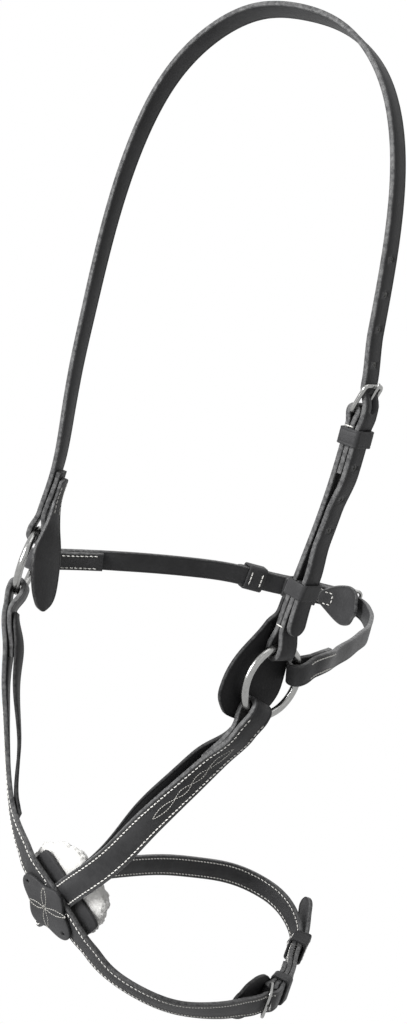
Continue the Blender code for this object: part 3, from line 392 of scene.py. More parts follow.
# Camera, floor and light
def set_camera():
    lens = bpy.data.cameras.new("camera")
    lens.sensor_fit = "VERTICAL"
    lens.sensor_height = SENSOR_HEIGHT
    lens.lens = CAMERA_FOCAL / IMAGE_HEIGHT * SENSOR_HEIGHT
    lens.clip_start = 0.01
    made = add_object("camera", lens)
    axes = (Vector(CAMERA_RIGHT), -Vector(CAMERA_DOWN), -Vector(CAMERA_FORWARD))
    made.matrix_world = placed(CAMERA_PLACE, axes)
    bpy.context.scene.camera = made


def srgb(code):
    """A hex colour as the linear values that a shader takes."""
    values = [int(code[i:i + 2], 16) / 255 for i in (1, 3, 5)]
    linear = [v / 12.92 if v <= 0.04045 else ((v + 0.055) / 1.055) ** 2.4 for v in values]
    return (*linear, 1.0)


def set_inputs(tree, node, links):
    """Feeds a node's inputs from other nodes' outputs or with values."""
    for name, value in links.items():
        if isinstance(value, bpy.types.NodeSocket):
            tree.links.new(value, node.inputs[name])
        else:
            node.inputs[name].default_value = value


def add_node(tree, kind, links=None, **settings):
    made = tree.nodes.new("ShaderNode" + kind)
    for name, value in settings.items():
        setattr(made, name, value)
    set_inputs(tree, made, links or {})
    return made


def combined(tree, operation, first, second):
    """Two values made one by a named operation."""
    return add_node(tree, "Math", {0: first, 1: second}, operation=operation).outputs[0]


def ranged(tree, value, low, high, to_low=0.0, to_high=1.0):
    """A value moved from one range to another."""
    return add_node(tree, "MapRange", {
        "Value": value, "From Min": low, "From Max": high, "To Min": to_low, "To Max": to_high,
    }).outputs[0]


def mixed(tree, factor, low, high):
    """Two colours mixed by a factor."""
    made = add_node(tree, "Mix", {"Factor": factor, 6: low, 7: high}, data_type="RGBA")
    return made.outputs[2]


def mottle(tree, spot, size, detail=2.0, roughness=0.5):
    """Noise with patches about as large as size."""
    return add_node(tree, "TexNoise", {
        "Vector": spot, "Scale": 1 / size, "Detail": detail, "Roughness": roughness,
    }).outputs[0]


def seen_directly(tree):
    """One where the camera, a mirror or clear stuff sees the surface, otherwise nought."""
    path = add_node(tree, "LightPath").outputs
    mirror = combined(tree, "MAXIMUM", path["Is Glossy Ray"], path["Is Transmission Ray"])
    return combined(tree, "MAXIMUM", path["Is Camera Ray"], mirror)


def set_world():
    """A dim studio, brighter overhead, that the camera sees as plain white."""
    world = bpy.data.worlds.new("studio")
    world.use_nodes = True
    bpy.context.scene.world = world
    tree = world.node_tree
    tree.nodes.clear()
    spot = add_node(tree, "TexCoord").outputs["Generated"]
    rise = add_node(tree, "SeparateXYZ", {0: spot}).outputs["Z"]
    level = combined(tree, "MULTIPLY", ranged(tree, rise, -0.6, 0.9, 0.30, 0.85), STUDIO_LEVEL)
    strength = add_node(tree, "Mix", {"Factor": seen_directly(tree), 2: level, 3: 1.0})
    sky = add_node(tree, "Background", {"Color": WHITE, "Strength": strength.outputs[0]})
    add_node(tree, "OutputWorld", {"Surface": sky.outputs[0]})


def set_floor():
    bm = bmesh.new()
    bmesh.ops.create_grid(bm, x_segments=1, y_segments=1, size=FLOOR_HALF)
    bmesh.ops.translate(bm, verts=bm.verts, vec=(0, 0, -FLOOR_DROP))
    finish = bpy.data.materials.new("white_floor")
    finish.use_nodes = True
    tree = finish.node_tree
    tree.nodes.clear()
    matt = add_node(tree, "BsdfDiffuse", {"Color": srgb("#dcdcdc")}).outputs[0]
    white = add_node(tree, "Emission", {"Color": WHITE, "Strength": 1.0}).outputs[0]
    both = add_node(tree, "MixShader", {0: seen_directly(tree), 1: matt, 2: white})
    add_node(tree, "OutputMaterial", {"Surface": both.outputs[0]})
    floor = mesh_object("floor", bm, finish)


def add_lamp(name, place, size, power):
    lamp = bpy.data.lights.new(name, "AREA")
    lamp.shape = "RECTANGLE"
    lamp.size, lamp.size_y = size
    lamp.energy = power
    made = add_object(name, lamp)
    made.location = place
    made.rotation_euler = (Vector(LAMP_AIM) - Vector(place)).to_track_quat("-Z", "Y").to_euler()
    return made


def set_lamps():
    add_lamp("front_lamp", (-0.75, -2.05, 0.55), (1.1, 1.4), 84)
    add_lamp("near_lamp", (1.9, -0.4, 0.5), (0.9, 1.4), 1)
    add_lamp("top_lamp", (0.1, 0.2, 1.7), (1.4, 1.4), 12)
    rear_lamp = add_lamp("rear_lamp", (-1.3, 1.7, 0.4), (1.2, 1.4), 16)
    rear_lamp.visible_glossy = False


# Finishes
def new_finish(name):
    """A material, its nodes, and the place on the piece that its patterns start from."""
    made = bpy.data.materials.new(name)
    made.use_nodes = True
    tree = made.node_tree
    return made, tree, add_node(tree, "TexCoord").outputs["Object"]


def shade(tree, height, strength, distance, inputs):
    """Sets a surface's bump, by its height, strength and distance, and its other inputs."""
    bump = add_node(tree, "Bump", {"Height": height, "Strength": strength, "Distance": distance})
    set_inputs(tree, tree.nodes["Principled BSDF"], {"Normal": bump.outputs[0], **inputs})


def leather_finish(name, face, worn, edge, roughness, grain=1.1 * MM):
    """Bridle leather: drum dyed, waxed and rolled smooth, so the fine grain shows only in the
    highlight, the colour drifts a little, and the dressed cut edges are glossier and paler; their
    pale colour is partly the edge dressing and partly a painted highlight of the light that the
    edges catch."""
    made, tree, spot = new_finish(name)
    pebble = add_node(tree, "TexVoronoi", {"Vector": spot, "Scale": 1 / grain},
                      feature="SMOOTH_F1")
    pore = mottle(tree, spot, 0.5 * MM, 3.0)
    drift = mottle(tree, spot, 38 * MM, 4.0, 0.62)
    scuff = mottle(tree, spot, 7 * MM, 6.0, 0.7)
    patchy = mottle(tree, spot, 2.6 * MM, 3.0, 0.6)
    dressed_and_lit_edge = add_node(tree, "Attribute", attribute_name="cut_edge").outputs["Fac"]
    base = mixed(tree, ranged(tree, drift, 0.35, 0.7), srgb(face), srgb(worn))
    base = mixed(tree, ranged(tree, scuff, 0.5, 0.78, 0.0, 0.6), base, srgb(worn))
    # The pale edge colour: partly the edge dressing, partly a painted highlight on the cut edges.
    cut = mixed(tree, ranged(tree, patchy, 0.35, 0.68), srgb(worn), srgb(edge))
    gloss = ranged(tree, drift, 0.3, 0.75, roughness - 0.06, roughness + 0.08)
    gloss = add_node(tree, "Mix", {"Factor": dressed_and_lit_edge, 2: gloss, 3: roughness - 0.12}).outputs[0]
    height = combined(tree, "ADD", pebble.outputs["Distance"], pore)
    shade(tree, combined(tree, "ADD", height, patchy), 0.5, 0.2 * MM, {
        "Base Color": mixed(tree, dressed_and_lit_edge, base, cut), "Roughness": gloss,
        "Specular IOR Level": 0.16})
    return made


def thread_finish(name, soiled, clean):
    """Waxed linen thread, dull, with the twist of its plies."""
    made, tree, spot = new_finish(name)
    soil = mottle(tree, spot, 9 * MM)
    shade(tree, mottle(tree, spot, 0.35 * MM), 0.5, 0.1 * MM, {
        "Base Color": mixed(tree, soil, srgb(soiled), srgb(clean)), "Roughness": 0.7})
    return made


def steel_finish():
    """Stainless steel wire, drawn and polished: bright, with faint rub marks."""
    made, tree, spot = new_finish("polished_stainless_steel")
    rub = mottle(tree, spot, 1.6 * MM, 5.0, 0.7)
    shade(tree, rub, 0.12, 0.05 * MM, {
        "Base Color": mixed(tree, rub, srgb("#7c7c7b"), srgb("#b2b2b0")), "Metallic": 1.0,
        "Roughness": ranged(tree, rub, 0.3, 0.8, 0.16, 0.36)})
    return made


def fleece_finish():
    """Clipped lambswool: near white, dull, with soft shade painted into its colour between the
    locks.
    """
    made, tree, spot = new_finish("lambswool_fleece")
    lock = mottle(tree, spot, 2.4 * MM, 6.0, 0.7)
    shade(tree, lock, 0.8, 0.5 * MM, {
        # Painted shade: the colour darkens where the lock bump sinks, between the locks.
        "Base Color": mixed(tree, lock, srgb("#e0dfdc"), srgb("#f2f1ee")),
        "Roughness": 0.95, "Sheen Weight": 0.4, "Specular IOR Level": 0.1})
    return made


# The pale edge colours below are partly edge dressing and partly a painted highlight on the cut
# edges.
LEATHER = leather_finish("black_bridle_leather", "#303031", "#444445", "#707070", 0.5)
LINING_LEATHER = leather_finish(
    "soft_lining_leather", "#161617", "#202021", "#434343", 0.62, 1.4 * MM
)
RAW_LEATHER = leather_finish("raw_hole_leather", "#8a8a89", "#a0a09e", "#a0a09e", 0.7)
THREAD = thread_finish("waxed_linen_thread", "#d6d4ce", "#f8f7f3")
GREY_THREAD = thread_finish("fine_grey_thread", "#a3a19c", "#cbc9c3")
STEEL = steel_finish()
FLEECE = fleece_finish()


# Routes
class Route:
    """A smooth line through chosen stops, with the outward face direction beside each stop."""

    def __init__(self, stops):
        places = np.array([place for place, face in stops], float)
        faces = np.array([face for place, face in stops], float)
        knots = np.r_[0, np.cumsum(np.linalg.norm(np.diff(places, axis=0), axis=1))]
        fine = np.linspace(0, knots[-1], ROUTE_SAMPLES)
        self.place = chord_spline(knots, places, fine)
        steps = np.linalg.norm(np.diff(self.place, axis=0), axis=1)
        self.s = np.r_[0, np.cumsum(steps)]
        self.length = float(self.s[-1])
        self.ahead = np.gradient(self.place, self.s, axis=0)
        self.ahead /= np.linalg.norm(self.ahead, axis=1)[:, None]
        faces = np.array([np.interp(fine, knots, faces[:, axis]) for axis in range(3)]).T
        faces = smoothed(faces, round(FACE_SMOOTHING * ROUTE_SAMPLES / self.length))
        faces -= (faces * self.ahead).sum(axis=1)[:, None] * self.ahead
        self.face = faces / np.linalg.norm(faces, axis=1)[:, None]

    def frame(self, s):
        """Place, direction ahead and outward face at a distance along the line."""
        s = float(s)
        held = min(max(s, 0.0), self.length)
        place, ahead, face = (
            Vector([np.interp(held, self.s, values[:, axis]) for axis in range(3)])
            for values in (self.place, self.ahead, self.face)
        )
        ahead.normalize()
        face = (face - face.dot(ahead) * ahead).normalized()
        return place + (s - held) * ahead, ahead, face

    def point(self, s, out=0.0, across=0.0):
        place, ahead, face = self.frame(s)
        return place + out * face + across * ahead.cross(face)

    def nearest(self, target):
        gaps = np.linalg.norm(self.place - np.array(target), axis=1)
        row = int(np.argmin(gaps))
        return float(self.s[row] + (np.array(target) - self.place[row]) @ self.ahead[row])


def chord_spline(knots, values, wanted):
    """A cubic spline through the values that starts and ends along its first and last chords."""
    count = len(knots)
    span = np.diff(knots)
    system = np.zeros((count, count))
    system[0, :2] = 2, 1
    system[-1, -2:] = 1, 2
    right = np.zeros_like(values)
    slopes = np.diff(values, axis=0) / span[:, None]
    for i in range(1, count - 1):
        system[i, i - 1:i + 2] = span[i - 1], 2 * (span[i - 1] + span[i]), span[i]
        right[i] = 6 * (slopes[i] - slopes[i - 1])
    bend = np.linalg.solve(system, right)
    cell = np.clip(np.searchsorted(knots, wanted, side="right") - 1, 0, count - 2)
    width = span[cell][:, None]
    after = (wanted - knots[cell])[:, None]
    before = width - after
    return (
        (bend[cell] * before**3 + bend[cell + 1] * after**3) / (6 * width)
        + (values[cell] / width - bend[cell] * width / 6) * before
        + (values[cell + 1] / width - bend[cell + 1] * width / 6) * after
    )


def smoothed(rows, reach):
    """Each row averaged with its neighbours, the ends held."""
    padded = np.concatenate([rows[:1].repeat(reach, 0), rows, rows[-1:].repeat(reach, 0)])
    kernel = np.ones(2 * reach + 1) / (2 * reach + 1)
    return np.array([np.convolve(padded[:, axis], kernel, "valid") for axis in range(3)]).T


RING_LINE = Vector((0, 0, -RING_DROP))
NEAR_RING = RING_LINE + Vector((RING_SIDE, 0, 0))
OFF_RING = RING_LINE - Vector((RING_SIDE, 0, 0))


def ring_face(side):
    """The outward normal of a ring: side is 1 for the near ring, -1 for the off one."""
    turn = math.radians(NEAR_RING_TURN if side > 0 else OFF_RING_TURN)
    lean = math.radians(0 if side > 0 else OFF_RING_LEAN)
    level = math.cos(lean)
    return Vector((side * math.cos(turn) * level, -math.sin(turn) * level, math.sin(lean)))


def ring_stop(side, angle, reach):
    """A stop on the line out of a ring: angle from straight down, positive to the front."""
    face = ring_face(side)
    front = Vector((0, 0, 1)).cross(face).normalized() * -side
    down = face.cross(front) * side
    turn = math.radians(angle)
    spoke = math.cos(turn) * down + math.sin(turn) * front
    centre = NEAR_RING if side > 0 else OFF_RING
    return tuple(centre + reach * spoke), tuple(face)


def from_ring_line(stops):
    """Stops given in millimetres from the ring line, in metres from the poll."""
    return [((x * MM, y * MM, z * MM - RING_DROP), face) for (x, y, z), face in stops]


def ring_lead(side, angle):
    """The first two stops of a strap that leaves a ring."""
    reaches = (RING_RADIUS, RING_RADIUS + FOLD_RAMP)
    return [ring_stop(side, angle, reach) for reach in reaches]


CROSS = Vector((0, -CROSS_FORWARD, -CROSS_DROP - RING_DROP))
CROSS_UP = Vector((0, CROSS_LEAN, math.sqrt(1 - CROSS_LEAN**2)))
CROSS_RIGHT = Vector((1, 0, 0))
CROSS_FACE = CROSS_RIGHT.cross(CROSS_UP)
CROSS_AXES = (CROSS_RIGHT, CROSS_UP, CROSS_FACE)
OFF_TURN = math.radians(CROSS_ANGLE_OFF)


def cross_direction(angle):
    turn = math.radians(angle)
    return math.cos(turn) * CROSS_RIGHT + math.sin(turn) * CROSS_UP


def cross_stops(angle, reaches, aside=0.0):
    """Stops on the straight stretch where a nose strap lies flat under the patch."""
    ahead = cross_direction(angle)
    middle = CROSS + aside * cross_direction(angle + 90)
    return [(tuple(middle + reach * ahead), tuple(CROSS_FACE)) for reach in reaches]


FLAT = [share * CROSS_FLAT for share in (-1, -0.5, 0, 0.5, 1)]
head_route = Route(
    ring_lead(-1, 180)
    + from_ring_line(HEAD_OFF + HEAD_NEAR)
    + ring_lead(1, 180)[::-1]
)
jaw_route = Route(
    ring_lead(1, -90 - NEAR_JAW_ANGLE)
    + from_ring_line(JAW_NEAR + [JAW_REAR] + JAW_OFF)
    + ring_lead(-1, -90 - OFF_JAW_ANGLE)[::-1]
)
off_route = Route(
    ring_lead(-1, OFF_NOSE_ANGLE)
    + from_ring_line(OFF_NOSE)
    + cross_stops(CROSS_ANGLE_OFF, FLAT, OFF_CROSS_ASIDE)
    + from_ring_line(CHIN_NEAR_LEG + CHIN_TIP)
)
near_route = Route(
    ring_lead(1, NEAR_NOSE_ANGLE)
    + from_ring_line(NEAR_NOSE)
    + cross_stops(CROSS_ANGLE_NEAR, FLAT)
    + from_ring_line((CHIN_NEAR_LEG + CHIN_OFF_LEG)[:2:-1])
)

# Making pieces
def place_piece(made, body, slot, *nodes):
    """Says which body a piece rides on and the CAD nodes it stands for; slot, its material slot, is
    not used.
    """
    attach(made, body)
    if nodes:
        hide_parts(*nodes)
    return made


def bake_modifiers(made):
    """Applies a piece's modifiers and drops the cutters that they used."""
    graph = bpy.context.evaluated_depsgraph_get()
    solid = bpy.data.meshes.new_from_object(made.evaluated_get(graph))
    used = [m.object for m in made.modifiers if m.type == "BOOLEAN"]
    made.modifiers.clear()
    made.data = solid
    for cutter in used:
        bpy.data.objects.remove(cutter)


def thicken(made, thickness, eased_width, least_angle, even=False):
    """Gives a sheet its thickness and eases its edges."""
    solid = made.modifiers.new("thickness", "SOLIDIFY")
    solid.thickness = thickness
    solid.offset = 0
    solid.use_even_offset = even
    eased = made.modifiers.new("eased_edges", "BEVEL")
    eased.width = eased_width
    eased.segments = 3
    eased.limit_method = "ANGLE"
    eased.angle_limit = math.radians(least_angle)


def round_bar(around, rows, capped):
    """A round bar, one unit long and one in radius, cut into rows."""
    bm = bmesh.new()
    bmesh.ops.create_cone(bm, cap_ends=capped, segments=around, radius1=1, radius2=1, depth=1)
    lengthwise = [e for e in bm.edges if abs(e.verts[0].co.z - e.verts[1].co.z) > 0.5]
    bmesh.ops.subdivide_edges(bm, edges=lengthwise, cuts=rows - 2, use_grid_fill=True)
    return bm


def bar_cell(vert, around, rows):
    """The row and the step round the bar that one of its vertices is at."""
    row = round((vert.co.z + 0.5) * (rows - 1))
    return row, round(math.atan2(vert.co.y, vert.co.x) / (2 * math.pi / around)) % around


def strap_section(thickness, inset, depth, ease_radius):
    """One quarter of a strap's cross-section, from the middle of its edge to the crease on its face:
    distance in from the edge, height and share of the pale edge colour, which is partly edge
    dressing and partly a painted highlight."""
    half = thickness / 2
    made = []
    for step in range(EASE_STEPS + 1):
        share = step / EASE_STEPS
        turn = math.radians(90 * share)
        lift = half - ease_radius * (1 - math.sin(turn))
        made.append((ease_radius * (1 - math.cos(turn)), lift, 1 - 0.8 * share**2))
    for inward, drop in CREASE_SHAPE:
        made.append((inset + inward, half - drop * depth, 0.0))
    return made


def strap_mesh(route, stations, thickness, inset=CREASE_INSET, depth=CREASE_DEPTH,
               ease_radius=EASE_RADIUS):
    """A strap: a round bar, cut into rows and pressed to the strap's cross-section, then bent
    along its route. Each station is distance along, out, half width and shift across."""
    quarter = strap_section(thickness, inset, depth, ease_radius)
    steps = len(quarter)
    around = 4 * steps + 2
    rows = len(stations)
    bm = round_bar(around, rows, True)
    # Share of the pale edge colour, partly edge dressing and partly a painted highlight.
    edge_dressing_and_highlight = bm.verts.layers.float.new("cut_edge")
    line = np.array([station[:2] for station in stations])
    along = np.gradient(line, axis=0)
    along = (along / np.maximum(np.linalg.norm(along, axis=1), 1e-9)[:, None]).tolist()
    frames = [route.frame(s) for s in line[:, 0]]
    for vert in bm.verts:
        row, spoke = bar_cell(vert, around, rows)
        out, half, shift = stations[row][1:]
        outward = 1 if spoke <= 2 * steps else -1
        within = spoke if outward > 0 else spoke - (2 * steps + 1)
        across, lift, mark = 0.0, thickness / 2, 0.0
        if within != steps:
            side = 1 if within < steps else -1
            inward, lift, mark = quarter[within if side > 0 else 2 * steps - within]
            across = outward * side * max(half - inward, LEAST_WIDTH * half)
        lift *= outward
        ds, dh = along[row]
        place, ahead, face = frames[row]
        aside = (shift + across) * ahead.cross(face)
        vert.co = place + (-dh * lift) * ahead + (out + ds * lift) * face + aside
        vert[edge_dressing_and_highlight] = mark
    bmesh.ops.recalc_face_normals(bm, faces=bm.faces)
    return bm


def strap(name, node, route, stations, thickness, finish=LEATHER, **shape):
    made = mesh_object(name, strap_mesh(route, stations, thickness, **shape), finish)
    return place_piece(made, "noseband", "leather", node)


def ease(t):
    t = min(max(t, 0.0), 1.0)
    return t * t * (3 - 2 * t)


def at(value, s):
    """A size at a distance along a strap: a function of it, or one number for all."""
    return value(s) if callable(value) else value


def height_along(marks):
    """A smooth height against distance, through (distance, height) marks."""
    def height(s):
        for (s0, h0), (s1, h1) in zip(marks, marks[1:]):
            if s <= s1:
                return h0 + (h1 - h0) * ease((s - s0) / (s1 - s0))
        return marks[-1][1]
    return height


def run(start, end, height, half):
    """Stations of a plain stretch, both ends among them."""
    count = max(2, round(abs(end - start) / STRAP_ROW))
    distances = np.linspace(start, end, count + 1).tolist()
    return [(s, at(height, s), at(half, s), 0.0) for s in distances]


def fold(bar, body, top, radius, far, stretch, ramp, back, half, skive=0.0):
    """Stations of the leather round a bar, from the main run, beside the turned-back end, to
    that end. body: the side of the bar that the strap lies on along the route. top: 1 where
    the main run is the outer one, -1 where it is the inner one. skive: how much narrower the
    turned-back end is cut at its tip."""
    rows = [ramp * i / RAMP_ROWS for i in range(RAMP_ROWS + 1)]
    spare = max(1, round((back - ramp) / STRAP_ROW))
    rows += [ramp + (back - ramp) * (i + 1) / spare for i in range(spare)]

    def out(d):
        return far + (radius - far) * ease(1 - d / ramp)

    stations = [(bar + body * d, top * out(d), half, 0.0) for d in reversed(rows)]
    for i in range(1, FOLD_STEPS):
        turn = math.pi * i / FOLD_STEPS
        beyond = stretch + radius * math.sin(turn)
        stations.append((bar - body * beyond, top * radius * math.cos(turn), half, 0.0))
    for d in rows:
        narrow = skive * ease((d - ramp) / (back - ramp))
        stations.append((bar + body * d, -top * out(d), half * (1 - narrow), 0.0))
    return stations


def round_tip(end, height, half):
    """Stations that round off a strap's end."""
    made = []
    for i in range(1, TIP_STEPS + 1):
        turn = math.pi / 2 * i / TIP_STEPS
        s = end - half * (1 - math.sin(turn))
        made.append((s, height(s), max(half * math.cos(turn), TIP_POINT * half), 0.0))
    return made


def bow(half):
    """How far a ring's wire falls back at the edge of a strap folded round it."""
    return RING_RADIUS - math.sqrt(RING_RADIUS**2 - half**2)


def ring_fold(bar, body, top, half, thickness, back, skive=RING_SKIVE):
    """A fold round a ring, with room for the ring's bow."""
    return fold(
        bar, body, top, RING_WIRE + RING_GAP + thickness / 2, (thickness + GAP) / 2,
        bow(half) + 2 * GAP, FOLD_RAMP, back, half, skive,
    )


def fold_rise(bar, radius, thickness, ramp):
    """How far leather folded round a bar stands out past the flat of the fold."""
    spare = radius - (thickness + GAP) / 2
    return lambda s: spare * ease(1 - abs(s - bar) / ramp)


def ring_rise(bar, thickness):
    return fold_rise(bar, RING_WIRE + RING_GAP + thickness / 2, thickness, FOLD_RAMP)


def add_cutter(made, bm, wall=None):
    """Cuts a shape out of a piece. wall: the finish of the faces that the cut leaves."""
    cutter = mesh_object(made.name + "_cutter", bm, wall, sharp=0)
    opening = made.modifiers.new("opening", "BOOLEAN")
    opening.operation = "DIFFERENCE"
    opening.solver = "EXACT"
    opening.object = cutter
    if wall is not None:
        opening.material_mode = "TRANSFER"


def add_punch(bm, matrix, segments, depth):
    bmesh.ops.create_cone(bm, cap_ends=True, segments=segments, radius1=HOLE_RADIUS,
                          radius2=HOLE_RADIUS, depth=depth, matrix=matrix)


def punch_holes(made, route, distances, height):
    """Round holes punched square through a strap."""
    bm = bmesh.new()
    for s in distances:
        place, ahead, face = route.frame(s)
        axes = (ahead, face.cross(ahead), face)
        add_punch(bm, placed(place + height(s) * face, axes), 20, PUNCH_DEPTH)
    add_cutter(made, bm, RAW_LEATHER)


def box_cut(made, centre, axes, sizes):
    bm = bmesh.new()
    matrix = placed(centre, axes) @ Matrix.Diagonal((*sizes, 1))
    bmesh.ops.create_cube(bm, size=1, matrix=matrix)
    add_cutter(made, bm)


# Stitching
class Stitching:
    """Stitches gathered for one strap, each as its place, turn and size."""

    def __init__(self, route=None):
        self.route = route
        self.places = []

    def one(self, start, end, face, width=THREAD_WIDTH):
        """A single stitch: a thread that dips into the leather at both ends."""
        along = end - start
        length = along.length
        along.normalize()
        face = (face - face.dot(along) * along).normalized()
        scale = Matrix.Diagonal((length / 2, width / 2, THREAD_HEIGHT, 1))
        place = placed((start + end) / 2, (along, face.cross(along), face))
        self.places.append(place @ scale)

    def line(self, points, faces, pitch=STITCH_PITCH, length=STITCH_LENGTH, slant=STITCH_SLANT,
             width=THREAD_WIDTH):
        """Stitches at an even pitch along a line of points with their outward faces."""
        gaps = [(b - a).length for a, b in zip(points, points[1:])]
        reach = np.r_[0, np.cumsum(gaps)]
        count = max(1, int(reach[-1] / pitch))
        spots = np.array([tuple(p) for p in points])
        outs = np.array([tuple(f) for f in faces])

        def between(values, d):
            return Vector([np.interp(d, reach, values[:, axis]) for axis in range(3)])

        spare = (reach[-1] - count * pitch) / 2
        for i in range(count):
            middle = spare + (i + 0.5) * pitch
            a = between(spots, middle - length / 2)
            b = between(spots, middle + length / 2)
            face = between(outs, middle).normalized()
            lean = (b - a).normalized().cross(face) * (length / 2 * math.tan(math.radians(slant)))
            self.one(a - lean, b + lean, face, width)

    def row(self, start, end, height, across, thickness, sides=(1, -1), **how):
        """A row along the strap at a distance across it, on the faces named by sides."""
        count = max(2, round(abs(end - start) / SEAM_ROW))
        for side in sides:
            points = []
            faces = []
            for s in np.linspace(start, end, count + 1).tolist():
                place, ahead, face = self.route.frame(s)
                lift = at(height, s) + side * (at(thickness, s) / 2 - STITCH_SUNK)
                points.append(place + lift * face + at(across, s) * ahead.cross(face))
                faces.append(side * face)
            self.line(points, faces, **how)

    def row_across(self, s, height, half, thickness, sides=(1, -1), **how):
        """A row straight across the strap."""
        place, ahead, face = self.route.frame(s)
        for side in sides:
            lift = height + side * (thickness / 2 - STITCH_SUNK)
            points = [
                place + lift * face + share * half * ahead.cross(face)
                for share in (-1, -0.5, 0, 0.5, 1)
            ]
            self.line(points, [side * face] * len(points), **how)

    def lap(self, bar, way, seam, back, half, thickness, rise, sides, **how):
        """An end turned back round a bar: a row by each edge from seam past the bar. way: the
        sign of the way that the end lies along the route."""
        start, end = sorted((bar + way * seam, bar + way * back - way * LAP_END))
        for side in (1, -1):
            self.row(start, end, 0, side * (half - STITCH_INSET),
                     lambda s: 2 * thickness + GAP + 2 * rise(s), sides, **how)

    def ring_lap(self, bar, way, back, half, thickness, sides, **how):
        rise = ring_rise(bar, thickness)
        self.lap(bar, way, RING_SEAM, back, half, thickness, rise, sides, **how)

    def heel_lap(self, buckle, back):
        rise = fold_rise(buckle.heel, buckle.fold_radius, buckle.thickness, BUCKLE_RAMP)
        self.lap(buckle.heel, -buckle.toe, HEEL_SEAM, back, buckle.half, buckle.thickness, rise,
                 (-1,))

    def lap_across(self, s, half, thickness, side):
        """A row straight across an end that is turned back."""
        self.row_across(s, 0, half - STITCH_INSET, 2 * thickness + GAP, (side,))

    def edges(self, start, end, height, half, sides=(1, -1)):
        """A row in the channel by each edge of a nose or chin strap."""
        for side in (1, -1):
            self.row(start, end, height, lambda s: side * (half(s) - STITCH_INSET), NOSE_THICK,
                     sides)

    def hook(self, s, height, half):
        """The last stitches of a row, turned in across the strap."""
        place, ahead, face = self.route.frame(s)
        lift = (height(s) + NOSE_THICK / 2) * face
        points = [
            place + lift + (STITCH_INSET - half(s) + share * HOOK_REACH) * ahead.cross(face)
            for share in (0, 0.5, 1)
        ]
        self.line(points, [face] * 3, **HOOK_STITCH)

    def wave(self, height):
        """Two threads that cross each other between pointed lens shapes down the middle."""
        for way in (1, -1):
            def across(s):
                for i, (a, b) in enumerate(zip(WAVE_ENDS, WAVE_ENDS[1:])):
                    if s <= b:
                        share = (s - a) / (b - a)
                        return way * (-1) ** i * WAVE_HEIGHT * math.sin(math.pi * share)
                return 0.0
            self.row(WAVE_ENDS[0], WAVE_ENDS[-1], height, across, NOSE_THICK, (1,), **FINE_STITCH)

    def finish(self, name, body="noseband", thread=THREAD):
        stitch = bpy.data.meshes.new("stitch")
        bm = bmesh.new()
        turn = Matrix.Rotation(math.pi / 2, 4, "Y")
        bmesh.ops.create_uvsphere(bm, u_segments=8, v_segments=6, radius=1, matrix=turn)
        bm.to_mesh(stitch)
        bm.clear()
        for place in self.places:
            copy = stitch.copy()
            copy.transform(place)
            bm.from_mesh(copy)
            bpy.data.meshes.remove(copy)
        bpy.data.meshes.remove(stitch)
        place_piece(mesh_object(name, bm, thread, sharp=0), body, "fleece")


# Wire, rings and buckles
def wire(name, points, radius, closed=False, taper=()):
    """A round steel wire through points; taper gives the last points' shares of its radius."""
    curve = bpy.data.curves.new(name, "CURVE")
    curve.dimensions = "3D"
    curve.bevel_depth = radius
    curve.bevel_resolution = 5
    curve.use_fill_caps = not closed
    line = curve.splines.new("POLY")
    line.points.add(len(points) - 1)
    for spot, point in zip(line.points, points):
        spot.co = (*point, 1)
    for spot, share in zip(list(line.points)[::-1], taper):
        spot.radius = share
    line.use_cyclic_u = closed
    line.use_smooth = True
    curve.materials.append(STEEL)
    return add_object(name, curve)


def make_ring(name, side, node):
    """A welded wire ring."""
    bm = bmesh.new()
    bmesh.ops.create_circle(bm, segments=20, radius=RING_WIRE)
    bmesh.ops.rotate(bm, verts=bm.verts, matrix=Matrix.Rotation(math.pi / 2, 3, "X"))
    bmesh.ops.translate(bm, verts=bm.verts, vec=(RING_RADIUS, 0, 0))
    bmesh.ops.spin(
        bm, geom=bm.verts[:] + bm.edges[:], cent=(0, 0, 0), axis=(0, 0, 1),
        angle=2 * math.pi, steps=112, use_merge=True,
    )
    bmesh.ops.remove_doubles(bm, verts=bm.verts, dist=0.00001)
    centre = NEAR_RING if side > 0 else OFF_RING
    turn = ring_face(side).to_track_quat("Z", "X").to_matrix().to_4x4()
    bmesh.ops.transform(bm, matrix=Matrix.Translation(centre) @ turn, verts=bm.verts)
    bmesh.ops.recalc_face_normals(bm, faces=bm.faces)
    place_piece(mesh_object(name, bm, STEEL, sharp=0), node, "steel", node)


